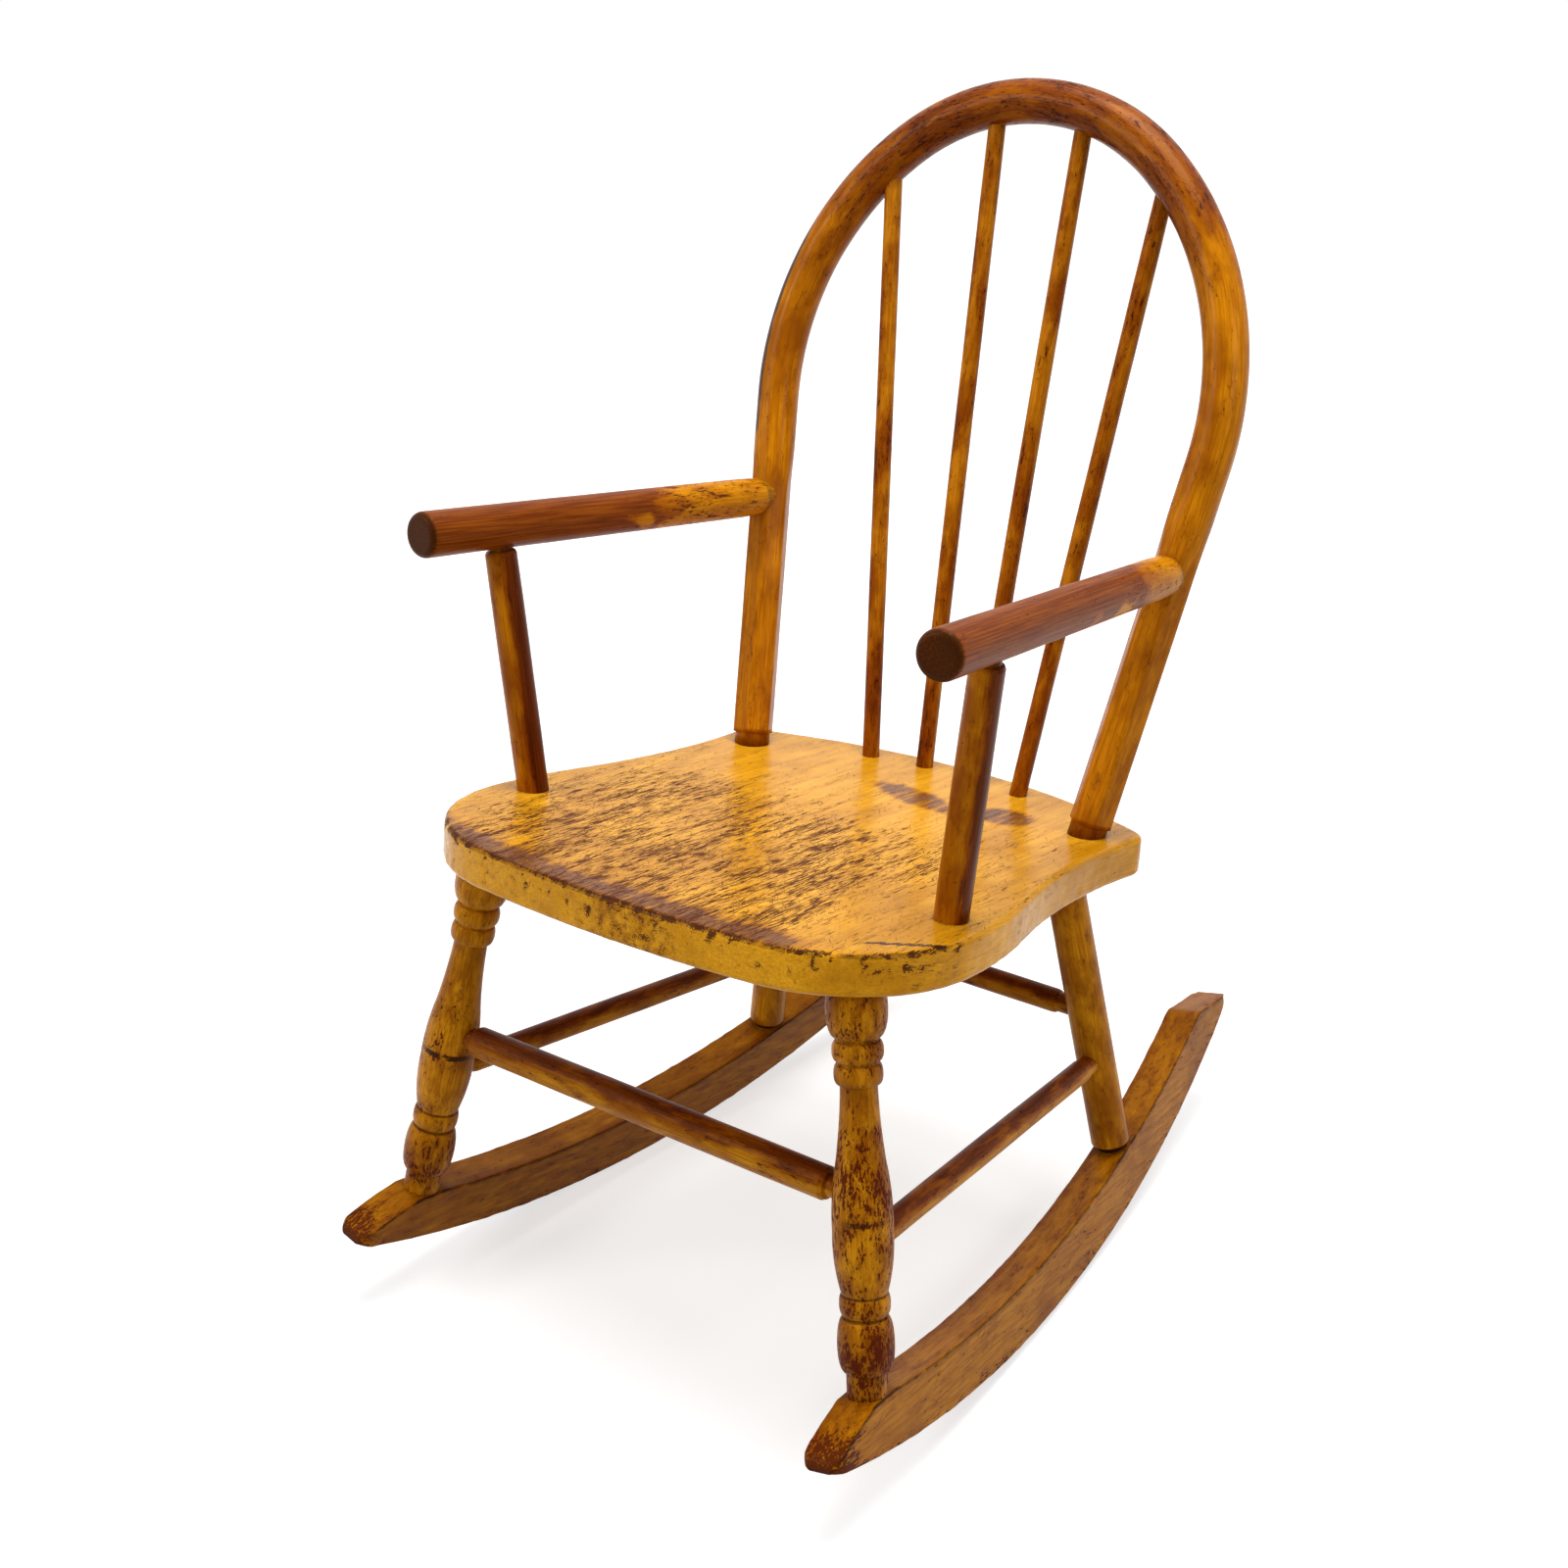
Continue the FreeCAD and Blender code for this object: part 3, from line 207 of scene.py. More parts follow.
@dataclass(frozen=True)
class WornEnamel:
    """Golden oil enamel, brushed over birch stained red-brown, under old amber varnish.

    The eye sees a satin, slightly streaky yellow coat. It is rubbed thin and then through
    to red-brown wood where hands and clothes reach, flecked with small dark chips that run
    with the grain, and finely cracked and scratched. Sizes are in mm.
    """

    # The enamel: its light brush streaks, its body, and where the varnish has gone orange.
    name: str
    light: str
    mid: str
    deep: str
    # The stained birch under it, light and dark in the grain, and the bottom of a chip.
    wood_light: str
    wood_dark: str
    chip: str
    # Grease and dust in the corners, also used as painted shade along the seat's and rockers' top arrises,
    # and the amber that the old varnish gives to reflections.
    soil: str = "#301204"
    varnish: str = "#FFB444"
    # Brush marks are 1 mm wide and as long as a stroke. A blotch is as wide as a thumb.
    streak_width: float = 1.1
    streak_length: float = 26.0
    blotch: float = 38.0
    blotch_stretch: float = 1.6
    # A chip is a millimetre wide, and chips drift together in patches some times their size.
    chip_width: float = 1.1
    chip_length: float = 5.0
    drift_width: float = 5.0
    drift_length: float = 4.0
    # The real cracks are hairs, a tenth of a mm wide. They are drawn coarser, so that they show.
    crack_width: float = 3.2
    crack_length: float = 11.0
    crack_wander: Triple = (0.7, 0.7, 0.3)
    # Scratches slant across the grain.
    scratch_width: float = 0.9
    scratch_length: float = 16.0
    scratch_turn_degrees: float = 38.0
    scratch_axis: Triple = (0.0, 1.0, 0.0)
    # How strong the cracks and the orange patches are.
    cracks: float = 0.35
    streaks: float = 0.6
    # Old brushed varnish is satin, and its soft gloss is low after years of handling.
    roughness: float = 0.34
    broken_roughness: float = 0.62
    # Oil paint and varnish bend light by about 1.5, and nothing in them is metal.
    ior: float = 1.5
    metallic: float = 0.0
    specular: float = 0.12
    gloss: float = 0.02
    gloss_blur: float = 0.2
    relief: float = 0.4
    relief_depth: float = 0.4
    grain_relief: float = 0.5
    # Where each pattern begins and is full. A noise runs from about 0.3 to 0.7, and marks add to it.
    noise_roughness: float = 0.62
    streak_band: Band = (0.34, 0.66)
    orange_band: Band = (0.4, 0.68)
    wood_band: Band = (0.36, 0.66)
    thin_band: Band = (1.04, 1.36)
    bare_band: Band = (1.35, 1.48)
    chip_band: Band = (1.06, 1.085)
    crack_line: Band = (0.015, 0.07)
    crack_band: Band = (0.58, 0.68)
    scratch_band: Band = (0.7, 0.74)
    grime_and_shade_band: Band = (0.5, 1.2)
    # How much a noise, or a mark, counts beside the other in each pattern.
    flake_in_wear: float = 0.9
    streak_in_wear: float = 0.7
    chips_in_flecks: float = 0.27
    flake_in_flecks: float = 0.5
    chips_in_cracks: float = 0.2
    chips_in_scratches: float = 0.06
    fleck_in_soil: float = 0.6
    # How far thin paint, a chip and a scratch go to their own colour.
    thinned: float = 0.9
    chipped_away: float = 0.95
    scratched: float = 0.75

    def pattern(self, tree: Tree, grain: Socket, width: float, length: float, detail: float) -> Socket:
        """Noise whose grains are so many mm wide and so many mm long.

        Args:
            tree: The material's node tree.
            grain: The place in the wood, in mm.
            width: The size across the grain.
            length: The size along the grain.
            detail: How much finer noise is added.

        Returns:
            The noise's value, about 0.3 to 0.7.
        """
        scale = (1 / width, 1 / width, 1 / length)
        place = add_node(tree, "ShaderNodeVectorMath", MULTIPLY, (grain, scale))
        return add_node(tree, "ShaderNodeTexNoise", {}, {
            "Vector": place.outputs[0], "Scale": 1.0, "Detail": detail, "Roughness": self.noise_roughness,
        }).outputs[0]

    def paint(self, tree: Tree, streak: Socket, blotch: Socket) -> Socket:
        """The sound enamel: brush streaks, and patches where the varnish has gone orange.

        Args:
            tree: The material's node tree.
            streak: Noise of the brush marks.
            blotch: Noise of the patches.

        Returns:
            The colour.
        """
        streaked = add_node(tree, "ShaderNodeMapRange", SMOOTH, (streak, *self.streak_band, 0.0, 1.0))
        orange = add_node(tree, "ShaderNodeMapRange", SMOOTH, (blotch, *self.orange_band, 0.0, self.streaks))
        colour = add_node(tree, "ShaderNodeMix", BLEND, {
            0: streaked.outputs[0], 6: to_linear(self.mid), 7: to_linear(self.light),
        })
        return add_node(tree, "ShaderNodeMix", BLEND, {
            0: orange.outputs[0], 6: colour.outputs[2], 7: to_linear(self.deep),
        }).outputs[2]

    def rub(self, tree: Tree, colour: Socket, wear: Socket, streak: Socket, flake: Socket) -> Socket:
        """Rub the enamel thin, then through to the stained wood, in ragged streaks.

        Args:
            tree: The material's node tree.
            colour: The enamel's colour.
            wear: How worn the surface is.
            streak: Noise of the grain.
            flake: Noise of the flaking edge.

        Returns:
            The colour.
        """
        edge = add_node(tree, "ShaderNodeMath", MULTIPLY_ADD, (flake, self.flake_in_wear, wear))
        edge = add_node(tree, "ShaderNodeMath", MULTIPLY_ADD,
                        (streak, self.streak_in_wear, edge.outputs[0])).outputs[0]
        thin = add_node(tree, "ShaderNodeMapRange", SMOOTH, (edge, *self.thin_band, 0.0, self.thinned))
        bare = add_node(tree, "ShaderNodeMapRange", SMOOTH, (edge, *self.bare_band, 0.0, 1.0))
        tone = add_node(tree, "ShaderNodeMapRange", SMOOTH, (streak, *self.wood_band, 0.0, 1.0))
        wood = add_node(tree, "ShaderNodeMix", BLEND, {
            0: tone.outputs[0], 6: to_linear(self.wood_dark), 7: to_linear(self.wood_light),
        })
        worn = add_node(tree, "ShaderNodeMix", BLEND, {
            0: thin.outputs[0], 6: colour, 7: to_linear(self.deep),
        })
        return add_node(tree, "ShaderNodeMix", BLEND, {
            0: bare.outputs[0], 6: worn.outputs[2], 7: wood.outputs[2],
        }).outputs[2]

    def chipped(self, tree: Tree, chips: Socket, fleck: Socket, flake: Socket) -> Socket:
        """Where small chips have gone: thick where the mark is high, in drifts.

        Args:
            tree: The material's node tree.
            chips: How chipped the surface is.
            fleck: Noise of single chips.
            flake: Noise of the drifts.

        Returns:
            Nearly 1 in a chip and 0 outside.
        """
        density = add_node(tree, "ShaderNodeMath", MULTIPLY_ADD, (chips, self.chips_in_flecks, fleck))
        density = add_node(tree, "ShaderNodeMath", MULTIPLY_ADD,
                           (flake, self.flake_in_flecks, density.outputs[0]))
        return add_node(tree, "ShaderNodeMapRange", SMOOTH,
                        (density.outputs[0], *self.chip_band, 0.0, self.chipped_away)).outputs[0]

    def cracked(self, tree: Tree, grain: Socket, chips: Socket, fleck: Socket, flake: Socket) -> Socket:
        """A broken net of hairline cracks drawn out along the grain, and slanting scratches.

        Args:
            tree: The material's node tree.
            grain: The place in the wood, in mm.
            chips: How chipped the surface is.
            fleck: Noise that makes the cracks wander.
            flake: Noise that breaks the net up.

        Returns:
            How dark the cracks and scratches are.
        """
        scale = (1 / self.crack_width, 1 / self.crack_width, 1 / self.crack_length)
        place = add_node(tree, "ShaderNodeVectorMath", MULTIPLY, (grain, scale))
        wander = add_node(tree, "ShaderNodeVectorMath", MULTIPLY_ADD,
                          (fleck, self.crack_wander, place.outputs[0]))
        net = add_node(tree, "ShaderNodeTexVoronoi", {"feature": "DISTANCE_TO_EDGE"}, {
            "Vector": wander.outputs[0], "Scale": 1.0,
        })
        line = add_node(tree, "ShaderNodeMapRange", SMOOTH,
                        (net.outputs["Distance"], *self.crack_line, 1.0, 0.0))
        drift = add_node(tree, "ShaderNodeMath", MULTIPLY_ADD, (chips, self.chips_in_cracks, flake))
        where = add_node(tree, "ShaderNodeMapRange", SMOOTH,
                         (drift.outputs[0], *self.crack_band, 0.0, self.cracks))
        hair = add_node(tree, "ShaderNodeMath", MULTIPLY, (line.outputs[0], where.outputs[0]))
        turned = add_node(tree, "ShaderNodeVectorRotate", {"rotation_type": "AXIS_ANGLE"}, {
            "Vector": grain, "Axis": self.scratch_axis, "Angle": math.radians(self.scratch_turn_degrees),
        })
        scratch = self.pattern(tree, turned.outputs[0], self.scratch_width, self.scratch_length, 2.0)
        scored = add_node(tree, "ShaderNodeMath", MULTIPLY_ADD, (chips, self.chips_in_scratches, scratch))
        scored = add_node(tree, "ShaderNodeMapRange", SMOOTH,
                          (scored.outputs[0], *self.scratch_band, 0.0, self.scratched))
        return add_node(tree, "ShaderNodeMath", LARGER, (hair.outputs[0], scored.outputs[0])).outputs[0]

    def build(self) -> bpy.types.Material:
        """Make the material.

        Returns:
            A material that reads the surface's grain and marks.
        """
        material = bpy.data.materials.new(self.name)
        material.use_nodes = True
        tree = material.node_tree
        tree.nodes.clear()
        grain = add_node(tree, "ShaderNodeAttribute", {"attribute_name": "grain"}, ()).outputs["Vector"]
        marks = add_node(tree, "ShaderNodeAttribute", {"attribute_name": "marks"}, ()).outputs["Vector"]
        wear, soil, chips = add_node(tree, "ShaderNodeSeparateXYZ", {}, (marks,)).outputs
        streak = self.pattern(tree, grain, self.streak_width, self.streak_length, 4.0)
        blotch = self.pattern(tree, grain, self.blotch, self.blotch * self.blotch_stretch, 3.0)
        flake = self.pattern(tree, grain, self.chip_width * self.drift_width,
                             self.chip_length * self.drift_length, 5.0)
        fleck = self.pattern(tree, grain, self.chip_width, self.chip_length, 2.5)

        colour = self.rub(tree, self.paint(tree, streak, blotch), wear, streak, flake)
        chipped = self.chipped(tree, chips, fleck, flake)
        cracked = self.cracked(tree, grain, chips, fleck, flake)
        broken = add_node(tree, "ShaderNodeMath", LARGER, (chipped, cracked)).outputs[0]
        mixed = add_node(tree, "ShaderNodeMix", BLEND, {0: broken, 6: colour, 7: to_linear(self.chip)})
        colour = mixed.outputs[2]
        grime = add_node(tree, "ShaderNodeMath", MULTIPLY_ADD, (fleck, self.fleck_in_soil, soil))
        soiled = add_node(tree, "ShaderNodeMapRange", SMOOTH, (grime.outputs[0], *self.grime_and_shade_band, 0.0, 1.0))
        colour = add_node(tree, "ShaderNodeMix", BLEND, {
            0: soiled.outputs[0], 6: colour, 7: to_linear(self.soil),
        }).outputs[2]

        rough = add_node(tree, "ShaderNodeMapRange", {},
                         (broken, 0.0, 1.0, self.roughness, self.broken_roughness))
        height = add_node(tree, "ShaderNodeMath", MULTIPLY_ADD, (streak, self.grain_relief, 1.0))
        height = add_node(tree, "ShaderNodeMath", {"operation": "SUBTRACT"}, (height.outputs[0], broken))
        bump = add_node(tree, "ShaderNodeBump", {}, {
            "Strength": self.relief, "Distance": self.relief_depth * MM, "Height": height.outputs[0],
        })
        shader = add_node(tree, "ShaderNodeBsdfPrincipled", {}, {
            "Base Color": colour, "Roughness": rough.outputs[0], "Normal": bump.outputs[0],
            "IOR": self.ior, "Metallic": self.metallic,
            "Specular IOR Level": self.specular, "Specular Tint": to_linear(self.varnish),
            "Coat Weight": self.gloss, "Coat Roughness": self.gloss_blur,
        })
        add_node(tree, "ShaderNodeOutputMaterial", {}, {"Surface": shader.outputs[0]})
        return material


class Finish(Enum):
    """The chair's finishes, each the same enamel as it has aged on one kind of piece."""

    # The plank: smooth, thick yellow enamel, streaked with chips where it is sat on.
    SEAT = WornEnamel(
        name="seat_worn_enamel", light="#E2A222", mid="#C8880E", deep="#A86A00",
        wood_light="#825022", wood_dark="#5E3416", chip="#461A06",
        streak_width=1.2, streak_length=30.0, chip_width=0.75, chip_length=10.0,
        crack_width=2.6, crack_length=13.0, scratch_width=0.8, scratch_length=7.0,
        cracks=0.35, roughness=0.24, gloss=0.05, gloss_blur=0.14,
    )
    # The bent rod: amber with orange patches, handled to brown wood over the crown.
    HOOP = WornEnamel(
        name="hoop_worn_enamel", light="#C67C06", mid="#A05A00", deep="#824000",
        wood_light="#7E3A06", wood_dark="#5A2202", chip="#381002",
        blotch=26.0, cracks=0.35, streaks=0.8, roughness=0.3, gloss=0.06,
    )
    # The spindles: thin paint in long streaks of yellow and red-brown.
    SPINDLE = WornEnamel(
        name="spindle_worn_enamel", light="#CC8414", mid="#A66006", deep="#803A02",
        wood_light="#703006", wood_dark="#4C1A04", chip="#381002",
        streak_width=0.8, streak_length=34.0, blotch=22.0, cracks=0.3, streaks=0.9, roughness=0.3,
    )
    # The arms: bare reddish birch, dull and dry to the eye, with paint left towards the hoop.
    ARM = WornEnamel(
        name="arm_bare_birch", light="#D0900C", mid="#B87004", deep="#8C4602",
        wood_light="#84420C", wood_dark="#5E2404", chip="#54200A",
        streak_width=0.9, streak_length=40.0, cracks=0.3, roughness=0.42,
    )
    # The arm posts: yellow with one long dark stripe, partly rubbed and partly painted shade.
    POST = WornEnamel(
        name="post_worn_enamel", light="#CA840A", mid="#A65E04", deep="#783402",
        wood_light="#622806", wood_dark="#441402", chip="#340C02",
        streak_width=0.9, streak_length=36.0, cracks=0.3, streaks=0.9, roughness=0.3,
    )
    # The legs: yellow-brown and thick with short dark red chips.
    LEG = WornEnamel(
        name="leg_chipped_enamel", light="#CC8A12", mid="#A26006", deep="#7A3E02",
        wood_light="#6A3008", wood_dark="#481802", chip="#4A1204",
        blotch=24.0, chip_width=1.2, chip_length=3.2, cracks=0.3, streaks=0.8,
    )
    # The stretchers: dark where shoes rub the top, yellow beneath.
    STRETCHER = WornEnamel(
        name="stretcher_worn_enamel", light="#CC8C12", mid="#A46408", deep="#783802",
        wood_light="#6C2E06", wood_dark="#481802", chip="#340C02",
        streak_width=0.9, streak_length=34.0, cracks=0.3, streaks=0.8, roughness=0.42,
    )
    # The rockers: dull brownish yellow with long cracks, scuffed red-brown at the noses.
    ROCKER = WornEnamel(
        name="rocker_scuffed_enamel", light="#B4740A", mid="#925400", deep="#783E00",
        wood_light="#8A3C06", wood_dark="#6A2602", chip="#4A1804",
        streak_width=1.4, streak_length=24.0, chip_width=1.0, chip_length=5.0,
        crack_width=4.0, crack_length=15.0, scratch_axis=(1.0, 0.0, 0.0), cracks=0.3,
        streaks=0.7, roughness=0.4,
    )


class Paintshop:
    """Makes each finish once and hands it out."""

    def __init__(self) -> None:
        """Start with no finish made."""
        self.made: dict[Finish, bpy.types.Material] = {}

    def material(self, finish: Finish) -> bpy.types.Material:
        """Hand out the material of a finish, made the first time that it is asked for.

        Args:
            finish: Which finish.

        Returns:
            Its material.
        """
        if finish not in self.made:
            self.made[finish] = finish.value.build()
        return self.made[finish]


def skin(node: str, rings: Sequence[Sequence[Spot]], material: bpy.types.Material) -> None:
    """Cover rings of points with a closed skin that rides on the body and stands for one CAD node.

    Args:
        node: The CAD node that the piece replaces.
        rings: Rings with as many points each, from one end of the piece to the other.
        material: The finish.
    """
    name = f"{node}_dressed"
    shape = bmesh.new()
    grain = shape.verts.layers.float_vector.new("grain")
    marks = shape.verts.layers.float_vector.new("marks")
    rows = []
    for ring in rings:
        row = []
        for spot in ring:
            vertex = shape.verts.new(STANDING @ spot.place)
            vertex[grain] = spot.grain
            vertex[marks] = spot.marks
            row.append(vertex)
        rows.append(row)
    for low, high in zip(rows, rows[1:]):
        for index in range(len(low)):
            after = (index + 1) % len(low)
            shape.faces.new((low[index], low[after], high[after], high[index]))
    shape.faces.new(list(reversed(rows[0])))
    shape.faces.new(rows[-1])
    bmesh.ops.recalc_face_normals(shape, faces=shape.faces)
    for face in shape.faces:
        face.smooth = True
    mesh = bpy.data.meshes.new(name)
    shape.to_mesh(mesh)
    shape.free()
    mesh.materials.append(material)
    piece = bpy.data.objects.new(name, mesh)
    bpy.context.scene.collection.objects.link(piece)
    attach(piece, "root")
    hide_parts(node)
    LOG.info("%s: %d faces", name, len(mesh.polygons))


def quarter_turn(steps: int) -> list[float]:
    """Angles from nought to a right angle, in so many steps."""
    return [math.pi / 2 * step / steps for step in range(steps + 1)]


def swell(start: tuple[float, float], end: tuple[float, float], rise: float, steps: int = 10) -> Outline:
    """Points of an outline that bows between two of its points.

    Args:
        start: Distance along and radius of the first point.
        end: Distance along and radius of the last point.
        rise: How far the middle stands out, or in where it is negative.
        steps: How many parts the bow is cut into.

    Returns:
        The points, the first and last among them.
    """
    points = []
    for step in range(steps + 1):
        share = step / steps
        bow = rise * math.sin(math.pi * share) ** FULL_SWELL if rise * share * (1 - share) else 0.0
        along = start[0] + (end[0] - start[0]) * share
        points.append((along, start[1] + (end[1] - start[1]) * share + bow))
    return points


def bead(start: float, end: float, root: float, crest: float, steps: int = 12) -> Outline:
    """Points of a half-round bead turned between two grooves.

    Args:
        start: Distance along at the first groove.
        end: Distance along at the second groove.
        root: Radius in the grooves.
        crest: Radius at the top of the bead.
        steps: How many parts the bead is cut into.

    Returns:
        The points of the bead's outline.
    """
    points = []
    for step in range(steps + 1):
        angle = math.pi * step / steps
        along = (start + end) / 2 - math.cos(angle) * (end - start) / 2
        points.append((along, root + (crest - root) * math.sin(angle) ** FULL_BEAD))
    return points


@dataclass(frozen=True)
class Turning:
    """One round piece off the lathe: its axis, its outline and its marks, in mm."""

    start: Vector
    end: Vector
    outline: Outline
    marks: MarkRule
    seed: float
    segments: int = 48
    step: float = 2.0
    # How near to a crease the close pair of rings lies.
    crease: float = 0.25
    # Old turned wood is a little out of round, by this much over this length.
    waver: float = 0.12
    waver_width: float = 30.0

    def stations(self) -> Outline:
        """Cut the outline into short steps, with a close pair of points at each crease.

        Returns:
            Distance along and radius, ring by ring.
        """
        points = [self.outline[0]]
        for before, after in zip(self.outline, self.outline[1:]):
            length = math.dist(before, after)
            if length < TINY:
                continue
            near = min(self.crease / length, 0.25)
            count = max(1, math.ceil(length / self.step))
            shares = [near, *(index / count for index in range(1, count)), 1 - near, 1.0]
            for share in sorted(set(shares)):
                points.append((before[0] + (after[0] - before[0]) * share,
                               before[1] + (after[1] - before[1]) * share))
        return points

    def rings(self) -> list[list[Spot]]:
        """Rings of points up the piece.

        Returns:
            One ring for each station of the outline.
        """
        axis = (self.end - self.start).normalized()
        # A ring starts at the piece's side, seen from above where it lies, or from the front.
        lies = abs(axis.z) < 0.7
        across = Vector((0, 0, 1) if lies else (0, -1, 0)).cross(axis).normalized()
        front = axis.cross(across)
        rings = []
        for along, radius in self.stations():
            ring = []
            for index in range(self.segments):
                angle = 2 * math.pi * index / self.segments
                outward = across * math.cos(angle) + front * math.sin(angle)
                middle = self.start + axis * along
                sample = (middle + outward * radius) / self.waver_width + Vector((self.seed, 0, 0))
                place = middle + outward * (radius + noise.noise(sample) * self.waver)
                across_grain = math.cos(angle) * radius + self.seed * BOARD_GAP
                wood = Vector((across_grain, math.sin(angle) * radius, along))
                ring.append(Spot(place, wood, self.marks(along, outward, place)))
            rings.append(ring)
        return rings


@dataclass(frozen=True)
class RockerShape:
    """The sizes of a rocker, which its legs' feet share, in mm."""

    # Where the front foot stands in the chair's frame, and how the rocker toes out and leans.
    spread: float = 152.0
    forward: float = 118.5
    rise: float = 1.8
    toe_degrees: float = 4.3
    cant_degrees: float = 11.0
    # The lower and the upper arc, the board's width and depth, and where each arc is lowest.
    radius: float = 584.5
    top_radius: float = 622.0
    width: float = 20.5
    depth: float = 29.9
    low_point: float = 97.1
    top_low_point: float = 87.3
    # The nose, the feet and the tail, as distances behind the front foot.
    nose: float = -45.0
    nose_high: float = -39.0
    nose_rise: float = 7.16
    foot_flat: float = 10.0
    foot_spacing: float = 269.2
    tail: float = 419.2
    tail_low: float = 408.2
    tail_high: float = 378.2
    tail_rise: float = 11.13

    def place(self, side: Side) -> Matrix:
        """Place a rocker's own frame: X back along it and Z up its leaning plane.

        Args:
            side: Which rocker.

        Returns:
            The transform from that frame to the chair's.
        """
        turn = Matrix.Rotation(math.radians(90 + side.value * self.toe_degrees), 4, "Z")
        cant = Matrix.Rotation(math.radians(-side.value * self.cant_degrees), 4, "X")
        start = Matrix.Translation((side.value * self.spread, -self.forward, self.rise))
        return start @ turn @ cant

    def top_arc(self, reach: float) -> float:
        """Height of the upper arc at a distance behind the front foot."""
        offset = reach - self.top_low_point
        return self.depth + self.top_radius - math.sqrt(self.top_radius ** 2 - offset ** 2)

    def bottom_arc(self, reach: float) -> float:
        """Height of the lower arc at a distance behind the front foot."""
        offset = reach - self.low_point
        return self.radius - math.sqrt(self.radius ** 2 - offset ** 2)

    @property
    def nose_height(self) -> float:
        """Height of the nose's upper corner."""
        return self.bottom_arc(self.nose) + self.nose_rise

    @property
    def tail_height(self) -> float:
        """Height of the tail's end."""
        return self.bottom_arc(self.tail_low) + self.tail_rise

    def front_foot(self, side: Side) -> Vector:
        """Where the front leg stands."""
        return self.place(side) @ Vector((0, 0, self.top_arc(self.foot_flat)))

    def rear_foot(self, side: Side) -> Vector:
        """Where the rear leg stands."""
        return self.place(side) @ Vector((self.foot_spacing, 0, self.top_arc(self.foot_spacing)))


